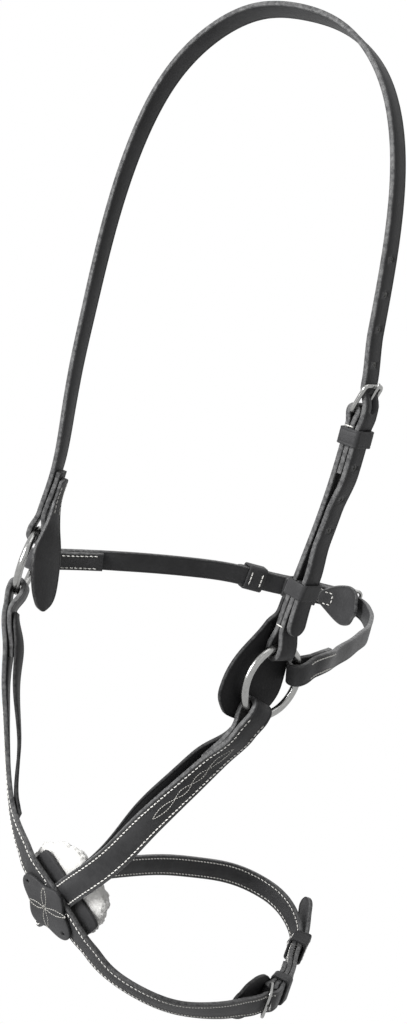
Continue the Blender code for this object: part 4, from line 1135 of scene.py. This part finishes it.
class Buckle:
    """A wire buckle at the end of a folded strap. toe is the sign of the way its far bar lies
    along the route; the other strap, the billet, passes under that bar and over the heel."""

    def __init__(self, label, route, heel, toe, width, thickness):
        self.label = label
        self.route = route
        self.heel = heel
        self.toe = toe
        self.half = width / 2
        self.thickness = thickness
        self.place, self.ahead, self.face = route.frame(heel)
        self.side = self.ahead.cross(self.face)
        self.fold_radius = BUCKLE_WIRE + GAP + thickness / 2
        self.far = (thickness + GAP) / 2
        self.over_heel = self.fold_radius + thickness / 2 + GAP + thickness / 2
        self.over_chape = self.far + thickness / 2 + GAP + thickness / 2
        self.toe_height = BILLET_LIFT + thickness / 2 + GAP + BUCKLE_WIRE
        self.stack = (-(thickness + GAP / 2), self.over_chape + thickness / 2)
        self.make_frame()
        self.make_tongue()

    def point(self, d, out, across=0.0):
        """A place by its distance from the heel bar towards the toe."""
        return self.place + self.toe * d * self.ahead + out * self.face + across * self.side

    def billet_marks(self, heel):
        """The billet's heights by distance along its own route, which crosses the heel bar at
        heel: up from the strap below it, under the toe bar and over the heel bar and the fold."""
        return [
            (heel - BUCKLE_LENGTH - FREE_RUN, 0), (heel - BUCKLE_LENGTH, BILLET_LIFT),
            (heel - 3 * MM, self.over_heel), (heel + 2 * MM, self.over_heel),
            (heel + BUCKLE_RAMP + 4 * MM, self.over_chape),
        ]

    def make_frame(self):
        half = self.half + SIDE_GAP + BUCKLE_WIRE
        length = math.hypot(BUCKLE_LENGTH, self.toe_height)
        points = []
        for quarter in range(4):
            a_middle = length - BUCKLE_CORNER if quarter in (0, 1) else BUCKLE_CORNER
            side = 1 if quarter in (0, 3) else -1
            for step in range(10):
                turn = math.radians(90 * quarter + 10 * step)
                share = (a_middle + BUCKLE_CORNER * math.sin(turn)) / length
                across = side * (half - BUCKLE_CORNER) + BUCKLE_CORNER * math.cos(turn)
                points.append(self.point(share * BUCKLE_LENGTH, share * self.toe_height, across))
        made = wire(self.label + "_buckle_wire", points, BUCKLE_WIRE, closed=True)
        place_piece(made, self.label + "_buckle", "steel", self.label + "_buckle_frame")

    def make_tongue(self):
        """A wire bent to an eye round the heel bar, its tip at rest on the toe bar."""
        eye = BUCKLE_WIRE + GAP + TONGUE_WIRE
        rest = self.toe_height + BUCKLE_WIRE + GAP + TONGUE_WIRE
        lean = math.atan2(rest, BUCKLE_LENGTH) - math.asin(eye / math.hypot(rest, BUCKLE_LENGTH))
        start = math.pi / 2 + lean
        points = []
        for i in range(EYE_STEPS, -1, -1):
            turn = start + math.radians(EYE_TURN) * i / EYE_STEPS
            points.append(self.point(eye * math.cos(turn), eye * math.sin(turn)))
        foot_d = eye * math.cos(start)
        foot_out = eye * math.sin(start)
        for share in (0.3, 0.6, 0.9, 0.95, 0.985, 1.0):
            d = foot_d + share * (BUCKLE_LENGTH + TONGUE_PAST_TOE - foot_d)
            points.append(self.point(d, foot_out + (d - foot_d) * math.tan(lean)))
        self.shank = (foot_out, lean)
        made = wire(
            self.label + "_tongue_wire", points, TONGUE_WIRE, taper=(0.35, 0.75, 0.95, 1.0)
        )
        place_piece(made, self.label + "_tongue", "steel", self.label + "_buckle_tongue")

    def slot_in_chape(self, made):
        """Opens the folded end for the tongue's eye."""
        eye = BUCKLE_WIRE + GAP + 2 * TONGUE_WIRE
        low, high = -eye - 2 * GAP, eye + CHAPE_SLOT
        middle = self.place + self.toe * (low + high) / 2 * self.ahead
        axes = (self.ahead, self.side, self.face)
        sizes = (high - low, 2 * (TONGUE_WIRE + GAP), 4 * eye + CHAPE_SLOT)
        box_cut(made, middle, axes, sizes)

    def slot_in_billet(self, made):
        """Opens the billet's working hole along the tongue, up through the leather."""
        foot_out, lean = self.shank
        along = math.cos(lean) * self.toe * self.ahead + math.sin(lean) * self.face
        along.normalize()
        up = self.side.cross(along) * self.toe
        start, end = BILLET_SLOT
        middle = self.point((start + end) / 2, foot_out + (start + end) / 2 * math.tan(lean))
        below = TONGUE_WIRE + GAP
        box_cut(
            made, middle + up * (BILLET_SLOT_DEPTH - below) / 2, (along, self.side, up),
            (end - start, 2 * HOLE_RADIUS, BILLET_SLOT_DEPTH + below),
        )


def heel_fold(buckle, top, back):
    """A fold round a buckle's heel bar."""
    return fold(
        buckle.heel, -buckle.toe, top, buckle.fold_radius, buckle.far, 0, BUCKLE_RAMP, back,
        buckle.half,
    )


def make_chape(name, node, buckle, stations, thickness, **shape):
    """A strap that ends folded round a buckle's heel bar."""
    made = strap(name, node, buckle.route, stations, thickness, **shape)
    buckle.slot_in_chape(made)
    bake_modifiers(made)


def make_billet(name, node, buckle, route, widths, thickness, back, skive, tip, height, heel,
                holes, **shape):
    """A strap folded round a ring at its start, with a round tip and punched holes. widths: its
    half width at the ring, on the run and at the tip. heel: where it crosses the buckle's heel
    bar. holes: their numbers, counted from the one that the tongue is in."""
    at_ring, on_run, at_tip = widths
    stations = ring_fold(0, 1, 1, at_ring, thickness, back, skive)[::-1]
    stations += run(back, tip - at_tip, height, on_run)[1:]
    stations += round_tip(tip, height, at_tip)
    made = strap(name, node, route, stations, thickness, **shape)
    buckle.slot_in_billet(made)
    used = heel - BUCKLE_LENGTH / 2
    punch_holes(made, route, [used + i * HOLE_PITCH for i in holes if i], height)
    bake_modifiers(made)


# Keepers
def keeper(name, node, body, route, middle, length, low, high, half):
    """A leather loop round a stack of straps, from its low face to its high face. A loop that is
    sewn in place has a crease pressed in beside each edge, and one that slides is looser.
    Gives the heights of its own two outer faces."""
    slides = body != "noseband"
    wall = KEEPER_GAP + KEEPER_THICK / 2 + (SLIDE_SLACK if slides else 0)
    low, high, half = low - wall, high + wall, half + wall
    reach = (high - low) / 2
    side_steps = KEEPER_STEPS // 4
    rows = len(KEEPER_ROWS)
    bm = round_bar(KEEPER_STEPS, rows, False)
    for vert in bm.verts:
        row, step = bar_cell(vert, KEEPER_STEPS, rows)
        quarter, within = divmod(step, side_steps)
        side = 1 if quarter in (0, 3) else -1
        lift = 1 if quarter in (0, 1) else -1
        turn = math.radians(90 * quarter + 90 * within / (side_steps - 1))
        creased = row in (2, rows - 3) and not slides
        bend = KEEPER_CORNER - (KEEPER_CREASE if creased else 0.0)
        across = side * (half - KEEPER_CORNER) + bend * math.cos(turn)
        out = (low + high) / 2 + lift * (reach - KEEPER_CORNER) + bend * math.sin(turn)
        vert.co = route.point(middle + KEEPER_ROWS[row] * length, out, across)
    bmesh.ops.recalc_face_normals(bm, faces=bm.faces)
    made = mesh_object(name, bm, LEATHER)
    thicken(made, KEEPER_THICK, KEEPER_EASE, 60, even=True)
    place_piece(made, body, "leather", node)
    return low - KEEPER_THICK / 2, high + KEEPER_THICK / 2


def narrow_keeper(name, node, buckle, past, body="noseband"):
    """A keeper round a buckle's folded end and the billet on it, past the heel bar."""
    keeper(name, node, body, buckle.route, buckle.heel - buckle.toe * past, KEEPER_LENGTH,
           *buckle.stack, buckle.half)


def wide_keeper(node, buckle, past, low, body="noseband"):
    """A wide keeper, sewn through near both ends with bold stitches."""
    middle = buckle.heel - buckle.toe * past
    high = buckle.stack[1] + WIDE_KEEPER_SLACK
    faces = keeper(node + "_leather", node, body, buckle.route, middle, WIDE_KEEPER_LENGTH, low,
                   high, buckle.half)
    thread = Stitching(buckle.route)
    for end in (-1, 1):
        thread.row_across(
            middle + end * WIDE_KEEPER_LENGTH * WIDE_SEAM_SHARE, sum(faces) / 2,
            buckle.half - WIDE_SEAM_INSET, faces[1] - faces[0], **BOLD_STITCH,
        )
    thread.finish(node + "_stitching", body)


# Guards and linings
def smooth_outline(rows):
    """Outline rows filled in along smooth curves and closed round at both ends."""
    rows = sorted(rows)
    ups = np.array([row[0] for row in rows], float)
    edges = np.array([row[1:] for row in rows], float)
    fine = np.linspace(ups[0], ups[-1], round((ups[-1] - ups[0]) / OUTLINE_ROW) + 1)
    curve = chord_spline(ups, edges, fine)
    made = [(up, low, high) for up, (low, high) in zip(fine.tolist(), curve.tolist())]
    for end, way in ((0, -1), (-1, 1)):
        up, low, high = made[end]
        middle, half = (low + high) / 2, (high - low) / 2
        if half < OUTLINE_LEAST:
            continue
        drop = min(0.5 * half, OUTLINE_DROP)
        for step in (0.35, 0.65, 0.85, 0.97):
            narrow = half * math.sqrt(1 - step**2)
            row = (up + way * drop * step, middle - narrow, middle + narrow)
            made = made + [row] if way > 0 else [row] + made
    return made


def guard(name, node, route, outline, place, height, finish, sign=1):
    """A flat guard from the rows of its outline."""
    stations = []
    for up, low, high in smooth_outline(outline):
        s = place(up * MM)
        stations.append((s, at(height, s), (high - low) / 2 * MM, sign * (low + high) / 2 * MM))
    strap(name, node, route, stations, GUARD_THICK, finish)


def buckle_guard(buckle, outline, finish):
    """The leaf that lies between a buckle and the skin, sewn under the folded end. Gives its
    height."""
    under = -(buckle.fold_radius + JAW_THICK / 2) - GAP - GUARD_THICK / 2
    node = buckle.label + "_buckle_guard"
    guard(node + "_leather", node, buckle.route, outline,
          lambda d: buckle.heel + buckle.toe * d, under, finish, buckle.toe)
    return under


def lining(name, node, route, end, side):
    """The soft inner layer of a nose strap, standing off it between ring and crossing."""
    start = FOLD_RAMP + 2 * MM
    at_fold = -(NOSE_THICK + GAP / 2) - GAP - LINING_THICK / 2
    at_end = -NOSE_THICK / 2 - GAP - LINING_THICK / 2
    height = height_along([
        (start, at_fold), (NOSE_TURN_BACK, at_fold - 1 * MM),
        ((NOSE_TURN_BACK + end) / 2, -LINING_BULGE), (end - 8 * MM, at_end - 0.4 * MM),
        (end, at_end),
    ])
    stations = []
    for s, out, half, shift in run(start, end, height, LINING_WIDTH / 2):
        share = (s - start) / (end - start)
        half *= 1 - LINING_SKIVE * ease(1 - (s - start) / LINING_SKIVE_LENGTH)
        shift += side * LINING_SHIFT * math.sin(math.pi * share)
        stations.append((s, out, half, shift))
    strap(name, node, route, stations, LINING_THICK, LINING_LEATHER, ease_radius=LINING_EASE)


# Patch, backing and fleece
def star_radius(angle):
    """Four rounded lobes along the straps, the lower and upper ones shorter."""
    lobe = math.cos(2 * angle) ** 2
    reach = PATCH_REACH * math.cos(angle) ** 2 + PATCH_SHORT_REACH * math.sin(angle) ** 2
    return reach * (PATCH_WAIST + (1 - PATCH_WAIST) * lobe)


def box_radius(angle):
    """A rectangle with rounded corners."""
    x = abs(math.cos(angle)) / (BACKING_LENGTH / 2)
    y = abs(math.sin(angle)) / (BACKING_WIDTH / 2)
    return (x**BACKING_POWER + y**BACKING_POWER) ** (-1 / BACKING_POWER)


def crowned(share, crown):
    """The height of a pressed plate at a share of the way out to its edge."""
    return crown * max(0.0, 1 - share**2) ** 0.7


def plate(name, node, radius, lift, thickness, crown, aside=0.0):
    """A leather plate in the plane of the crossing: a disc drawn out to its outline."""
    bm = bmesh.new()
    bmesh.ops.create_circle(bm, cap_ends=True, cap_tris=True, segments=144, radius=1)
    spokes = [e for e in bm.edges if min(v.co.length for v in e.verts) < 0.5]
    bmesh.ops.subdivide_edges(bm, edges=spokes, cuts=9, use_grid_fill=True)
    for vert in bm.verts:
        share = vert.co.length
        angle = math.atan2(vert.co.y, vert.co.x)
        reach = radius(angle) * share if share > 1e-6 else 0.0
        turned = angle + OFF_TURN
        height = lift + crowned(share, crown)
        vert.co = Vector((reach * math.cos(turned), reach * math.sin(turned), height))
    middle = CROSS + aside * cross_direction(CROSS_ANGLE_OFF + 90)
    bmesh.ops.transform(bm, matrix=placed(middle, CROSS_AXES), verts=bm.verts)
    bmesh.ops.recalc_face_normals(bm, faces=bm.faces)
    made = mesh_object(name, bm, LEATHER)
    thicken(made, thickness, PLATE_EASE, 50)
    return place_piece(made, "noseband", "leather", node)


def punch_patch(patch, lift):
    """Two small holes through the patch, in the lobes along the off nose strap."""
    bm = bmesh.new()
    for side in (1, -1):
        spot = CROSS + side * PATCH_HOLE_REACH * cross_direction(CROSS_ANGLE_OFF)
        matrix = placed(spot, CROSS_AXES) @ Matrix.Translation((0, 0, lift + PATCH_THICK))
        add_punch(bm, matrix, 24, 4 * PATCH_THICK)
    add_cutter(patch, bm)
    bake_modifiers(patch)


def sew_petals(lift):
    """Four petals of fine stitches on the patch, each a pointed loop out from its middle."""
    thread = Stitching()
    for petal, length in enumerate(PETAL_LENGTHS):
        heading = math.radians(CROSS_ANGLE_OFF + PETAL_TURN + 90 * petal)
        for way in (1, -1):
            points = []
            for i in range(PETAL_STEPS + 1):
                share = i / PETAL_STEPS
                along = length * share
                aside = way * PETAL_WIDTH * math.sin(math.pi * share) ** 0.9
                x = along * math.cos(heading) - aside * math.sin(heading)
                y = along * math.sin(heading) + aside * math.cos(heading)
                reach = math.hypot(x, y) / star_radius(math.atan2(y, x) - OFF_TURN)
                out = lift + PATCH_THICK / 2 + crowned(reach, PATCH_CROWN)
                points.append(CROSS + x * CROSS_RIGHT + y * CROSS_UP + out * CROSS_FACE)
            thread.line(points, [CROSS_FACE] * len(points), **FINE_STITCH)
    thread.finish("nose_patch_stitching", thread=GREY_THREAD)


def fleece_pad(lift):
    """A thick clipped sheepskin disc, its locks standing proud round the leather."""
    seeded = random.Random(7)
    bm = bmesh.new()
    bmesh.ops.create_icosphere(bm, subdivisions=6, radius=1)
    half = FLEECE_THICK / 2
    flat = BACKING_LENGTH / 2
    shift = Vector((seeded.random(), seeded.random(), seeded.random()))
    for vert in bm.verts:
        x, y, z = vert.co
        grow = (math.hypot(x, y)**FLEECE_POWER + abs(z)**FLEECE_POWER) ** (-1 / FLEECE_POWER)
        angle = math.atan2(y, x)
        ragged = 1 + 0.035 * math.sin(5 * angle + 0.6) + 0.02 * math.sin(11 * angle)
        spot = Vector((x * grow * FLEECE_RADIUS * ragged, y * grow * FLEECE_RADIUS * ragged,
                       z * grow * half))
        lock = noise.voronoi(spot / LOCK_SIZE + shift)[0][0]
        curl = noise.fractal(spot / CURL_SIZE + shift, 1.0, 2.0, 4)
        puff = LOCK_HEIGHT * (0.7 - lock) + CURL_HEIGHT * curl
        if z > 0 and abs(spot.x) < flat and abs(spot.y) < flat:
            puff = min(puff, PRESSED_PUFF)
        vert.co = spot + puff * Vector((x, y, z)).normalized()
    centre = CROSS + FLEECE_SHIFT[0] * CROSS_RIGHT + FLEECE_SHIFT[1] * CROSS_UP
    turn = placed(centre + lift * CROSS_FACE, CROSS_AXES)
    bmesh.ops.transform(bm, matrix=turn, verts=bm.verts)
    bmesh.ops.recalc_face_normals(bm, faces=bm.faces)
    made = mesh_object("fleece_wool", bm, FLEECE, sharp=0)
    place_piece(made, "noseband", "fleece", "fleece_pad")


set_camera()
set_world()
set_floor()
set_lamps()
make_ring("near_ring_wire", 1, "near_ring")
make_ring("off_ring_wire", -1, "off_ring")

# Headpiece: from the off ring over the poll and down the near side as a punched billet
near_end = head_route.length
cheek = Buckle("cheek", head_route, near_end - CHEEK_HEEL_UP, -1, HEAD_WIDTH, HEAD_THICK)
head_far = cheek.far
cheek_lap = cheek.heel + CHEEK_TURN_BACK
ring_lap = near_end - CHEEK_RING_BACK
billet_tip = near_end - BILLET_END
head_height = height_along(
    [(OFF_TURN_BACK, head_far), (OFF_TURN_BACK + HEAD_LAP_RUN, 0)]
    + cheek.billet_marks(cheek.heel)
    + [(cheek_lap, cheek.over_chape), (cheek_lap + BILLET_STEP, BILLET_LOW),
       (ring_lap - 2 * MM - BILLET_STEP, BILLET_LOW), (ring_lap - 2 * MM, cheek.over_chape),
       (billet_tip - BILLET_STEP, cheek.over_chape), (billet_tip, cheek.over_chape + BILLET_RISE)]
)
make_billet(
    "headpiece_leather", "headpiece_strap", cheek, head_route, [HEAD_HALF] * 3, HEAD_THICK,
    OFF_TURN_BACK, HEAD_SKIVE, billet_tip, head_height, cheek.heel,
    range(CHEEK_HOLES, -CHEEK_HOLES - 1, -1),
)
thread = Stitching(head_route)
thread.ring_lap(0, 1, OFF_TURN_BACK, HEAD_HALF, HEAD_THICK, (1,))
thread.lap_across(OFF_TURN_BACK - LAP_END, HEAD_HALF, HEAD_THICK, 1)
thread.finish("headpiece_stitching")

# Cheek strap: folded round the near ring below and round the buckle's heel bar above
stations = ring_fold(near_end, -1, -1, HEAD_HALF, HEAD_THICK, CHEEK_RING_BACK)[::-1]
stations += run(ring_lap, cheek_lap, -head_far, HEAD_HALF)[1:-1]
stations += heel_fold(cheek, -1, CHEEK_TURN_BACK)
make_chape("cheek_leather", "cheek_strap", cheek, stations, HEAD_THICK)
thread = Stitching(head_route)
thread.heel_lap(cheek, CHEEK_TURN_BACK)
thread.ring_lap(near_end, -1, CHEEK_RING_BACK, HEAD_HALF, HEAD_THICK, (-1,))
# The thread's ends are passed round the front edge of the strap
for s, reach in (
    (cheek.heel + BUCKLE_RAMP + 1.5 * MM, 3.2 * MM), (cheek.heel + BUCKLE_RAMP + 3.6 * MM, 3.2 * MM),
    (near_end - FOLD_RAMP - 1 * MM, 2.6 * MM),
):
    place, ahead, face = head_route.frame(s)
    front = ahead.cross(face)
    edge = place + (HEAD_HALF + 0.1 * MM) * front
    thread.one(edge - reach * face, edge + reach * face, front)
thread.finish("cheek_stitching")
narrow_keeper("cheek_keeper_leather", "cheek_keeper", cheek, CHEEK_KEEPER)
narrow_keeper("cheek_runner_leather", "cheek_runner_keeper", cheek, CHEEK_RUNNER, "cheek_runner")

# Ring guards: the near one hangs with the cheek strap, the off one lies flat inside its ring
GUARD_NECK = -(HEAD_THICK + GAP / 2) - GAP - GUARD_THICK / 2
GUARD_FLAT = -(RING_WIRE + RING_GAP + max(HEAD_THICK, NOSE_THICK)) - GAP - GUARD_THICK / 2
guard_height = height_along([
    (near_end - FOLD_RAMP - GUARD_STEP, GUARD_NECK), (near_end - FOLD_RAMP, GUARD_FLAT)
])
guard("near_guard_leather", "near_ring_guard", head_route, NEAR_GUARD,
      lambda up: near_end + RING_RADIUS - up, guard_height, LINING_LEATHER)
guard_top = OFF_GUARD[0][0] * MM
guard_neck = OFF_GUARD[1][0] * MM
neck_face = tuple(head_route.frame(guard_top - RING_RADIUS)[2])
guard_plane = OFF_RING + Vector((OFF_GUARD_INSET, 0, 0))
off_guard_route = Route([
    (tuple(head_route.point(guard_top - RING_RADIUS, GUARD_NECK - GAP)), neck_face),
    (tuple(head_route.point(guard_neck - RING_RADIUS, GUARD_NECK - 2 * GAP)), neck_face),
] + [
    (tuple(guard_plane + Vector((0, 0, up * MM))), (-1, 0, 0)) for up in OFF_GUARD_STOPS
])
guard("off_guard_leather", "off_ring_guard", off_guard_route,
      [(up, -high, -low) for up, low, high in OFF_GUARD], lambda up: guard_top - up, 0, LEATHER)
thread = Stitching(off_guard_route)
for side in (1, -1):
    thread.row(1 * MM, guard_top - GUARD_SEAM_END, 0, side * GUARD_SEAM_ACROSS, GUARD_THICK, (-1,))
thread.finish("off_guard_stitching")

# Jaw strap: a billet from the near ring, buckled behind the jaw to the strap from the off ring
jaw_end = jaw_route.length
jaw = Buckle("jaw", jaw_route, jaw_end / 2 + JAW_HEEL_PAST_REAR, -1, JAW_WIDTH, JAW_THICK)
jaw_far = jaw.far
jaw_lap = jaw.heel + JAW_TURN_BACK
jaw_height = height_along(
    [(JAW_NEAR_BACK, jaw_far), (JAW_NEAR_BACK + LAP_RUN, 0)] + jaw.billet_marks(jaw.heel)
)
make_billet(
    "jaw_billet_leather", "jaw_billet_strap", jaw, jaw_route, [JAW_HALF] * 3, JAW_THICK,
    JAW_NEAR_BACK, RING_SKIVE, jaw.heel + JAW_BILLET, jaw_height, jaw.heel,
    range(JAW_HOLES, 0, -1),
)
stations = heel_fold(jaw, 1, JAW_TURN_BACK)[::-1]
stations += run(jaw_lap, jaw_end - JAW_OFF_BACK, jaw_far, JAW_HALF)[1:-1]
stations += ring_fold(jaw_end, -1, 1, JAW_HALF, JAW_THICK, JAW_OFF_BACK)
make_chape("jaw_leather", "jaw_strap", jaw, stations, JAW_THICK)
thread = Stitching(jaw_route)
thread.ring_lap(0, 1, JAW_NEAR_BACK, JAW_HALF, JAW_THICK, (1, -1), **CLOSE_STITCH)
thread.ring_lap(jaw_end, -1, JAW_OFF_BACK, JAW_HALF, JAW_THICK, (1, -1))
thread.heel_lap(jaw, JAW_TURN_BACK)
thread.lap_across(jaw.heel + BUCKLE_RAMP, JAW_HALF, JAW_THICK, -1)
thread.finish("jaw_stitching")
narrow_keeper("jaw_keeper_leather", "jaw_keeper", jaw, JAW_KEEPER)
wide_keeper("jaw_wide_keeper", jaw, JAW_WIDE_KEEPER, jaw_far - JAW_THICK / 2, "jaw_runner")
under = buckle_guard(jaw, JAW_GUARD, LEATHER)
tab_start, tab_end = (jaw.heel + d for d in TAB_SEAM)
thread = Stitching(jaw_route)
for side in (1, -1):
    thread.row(tab_start, tab_end, under, side * TAB_SEAM_ACROSS, GUARD_THICK, (-1,))
thread.row_across(tab_start, under, TAB_SEAM_ACROSS, GUARD_THICK, (-1,))
thread.finish("jaw_guard_stitching")

# Nose and chin: each nose strap goes on through the crossing and round behind the chin
off_cross = off_route.nearest(CROSS)
near_cross = near_route.nearest(CROSS)
off_heel = off_cross + CHIN_HEEL_FROM_CROSS
near_heel = near_route.nearest(off_route.point(off_heel))
chin = Buckle("chin", near_route, near_heel, 1, CHIN_WIDTH, NOSE_THICK)
chin_lap = chin.heel - CHIN_TURN_BACK
nose_far = chin.far


def strap_width(cross):
    """Half width: the nose width, drawn in to the chin width just past the crossing."""
    def half(s):
        return NOSE_HALF + (CHIN_HALF - NOSE_HALF) * ease((s - cross) / CROSS_FLAT)
    return half


def nose_height(cross, far, chin_marks):
    """A nose strap's height: off its lap to the route, then clear of the other strap where the
    two cross, and on round the chin."""
    return height_along([
        (NOSE_TURN_BACK, nose_far), (NOSE_TURN_BACK + LAP_RUN, 0),
        (cross - PAST_CROSS, 0), (cross - CROSS_FLAT, far),
        (cross + CROSS_FLAT, far), (cross + PAST_CROSS, 0),
    ] + chin_marks)


off_height = nose_height(off_cross, nose_far, chin.billet_marks(off_heel))
off_half = strap_width(off_cross)
make_billet(
    "off_nose_leather", "off_nose_strap", chin, off_route, (NOSE_HALF, off_half, CHIN_HALF),
    NOSE_THICK, NOSE_TURN_BACK, NOSE_SKIVE, off_heel + CHIN_BILLET, off_height, off_heel,
    range(1, CHIN_HOLES + 1), **SEWN,
)
near_height = nose_height(near_cross, -nose_far, [(chin_lap - LAP_RUN, 0), (chin_lap, nose_far)])
near_half = strap_width(near_cross)
stations = ring_fold(0, 1, 1, NOSE_HALF, NOSE_THICK, NOSE_TURN_BACK, NOSE_SKIVE)[::-1]
stations += run(NOSE_TURN_BACK, chin_lap, near_height, near_half)[1:-1]
stations += heel_fold(chin, 1, CHIN_TURN_BACK)
make_chape("near_nose_leather", "near_nose_strap", chin, stations, NOSE_THICK, **SEWN)

nose_rise = ring_rise(0, NOSE_THICK)
thread = Stitching(off_route)
thread.edges(RING_SEAM, off_cross - PATCH_HIDES, lambda s: off_height(s) + nose_rise(s), off_half,
             (1,))
thread.edges(off_cross + PATCH_HIDES, off_heel - CHIN_ROW_END, off_height, off_half)
for reach in (-PATCH_HIDES, PATCH_HIDES):
    thread.hook(off_cross + reach, off_height, off_half)
thread.finish("off_nose_stitching")
for name, route, height in (
    ("near_wave_stitching", near_route, near_height),
    ("off_wave_stitching", off_route, off_height),
):
    thread = Stitching(route)
    thread.wave(height)
    thread.finish(name, thread=GREY_THREAD)
thread = Stitching(near_route)
thread.edges(NEAR_ROW_START, near_cross - NEAR_ROW_END, lambda s: near_height(s) + nose_rise(s),
             near_half, (1,))
thread.edges(near_cross + NEAR_ROW_RESUMES, chin_lap, near_height, near_half)
thread.heel_lap(chin, CHIN_TURN_BACK)
thread.finish("near_nose_stitching")
narrow_keeper("chin_keeper_leather", "chin_keeper", chin, CHIN_KEEPER)
wide_keeper("chin_wide_keeper", chin, CHIN_WIDE_KEEPER, -NOSE_THICK / 2 - WIDE_KEEPER_SLACK)
buckle_guard(chin, CHIN_GUARD, LINING_LEATHER)
lining("near_lining_leather", "near_nose_lining", near_route, near_cross - NEAR_LINING_SHORT, 1)
lining("off_lining_leather", "off_nose_lining", off_route, off_cross - OFF_LINING_SHORT, -1)

# Crossing: stitched patch in front, leather backing and fleece pad behind
stack = NOSE_THICK + GAP / 2
patch_lift = stack + GAP + PATCH_THICK / 2
backing_lift = -(stack + GAP + BACKING_THICK / 2)
patch = plate("nose_patch_leather", "nose_patch", star_radius, patch_lift, PATCH_THICK,
              PATCH_CROWN)
plate("nose_backing_leather", "nose_backing", box_radius, backing_lift, BACKING_THICK, 0.0,
      BACKING_ASIDE)
punch_patch(patch, patch_lift)
sew_petals(patch_lift)
fleece_pad(backing_lift - BACKING_THICK / 2 - GAP - FLEECE_THICK / 2)

bpy.context.scene.view_settings.view_transform = "Standard"
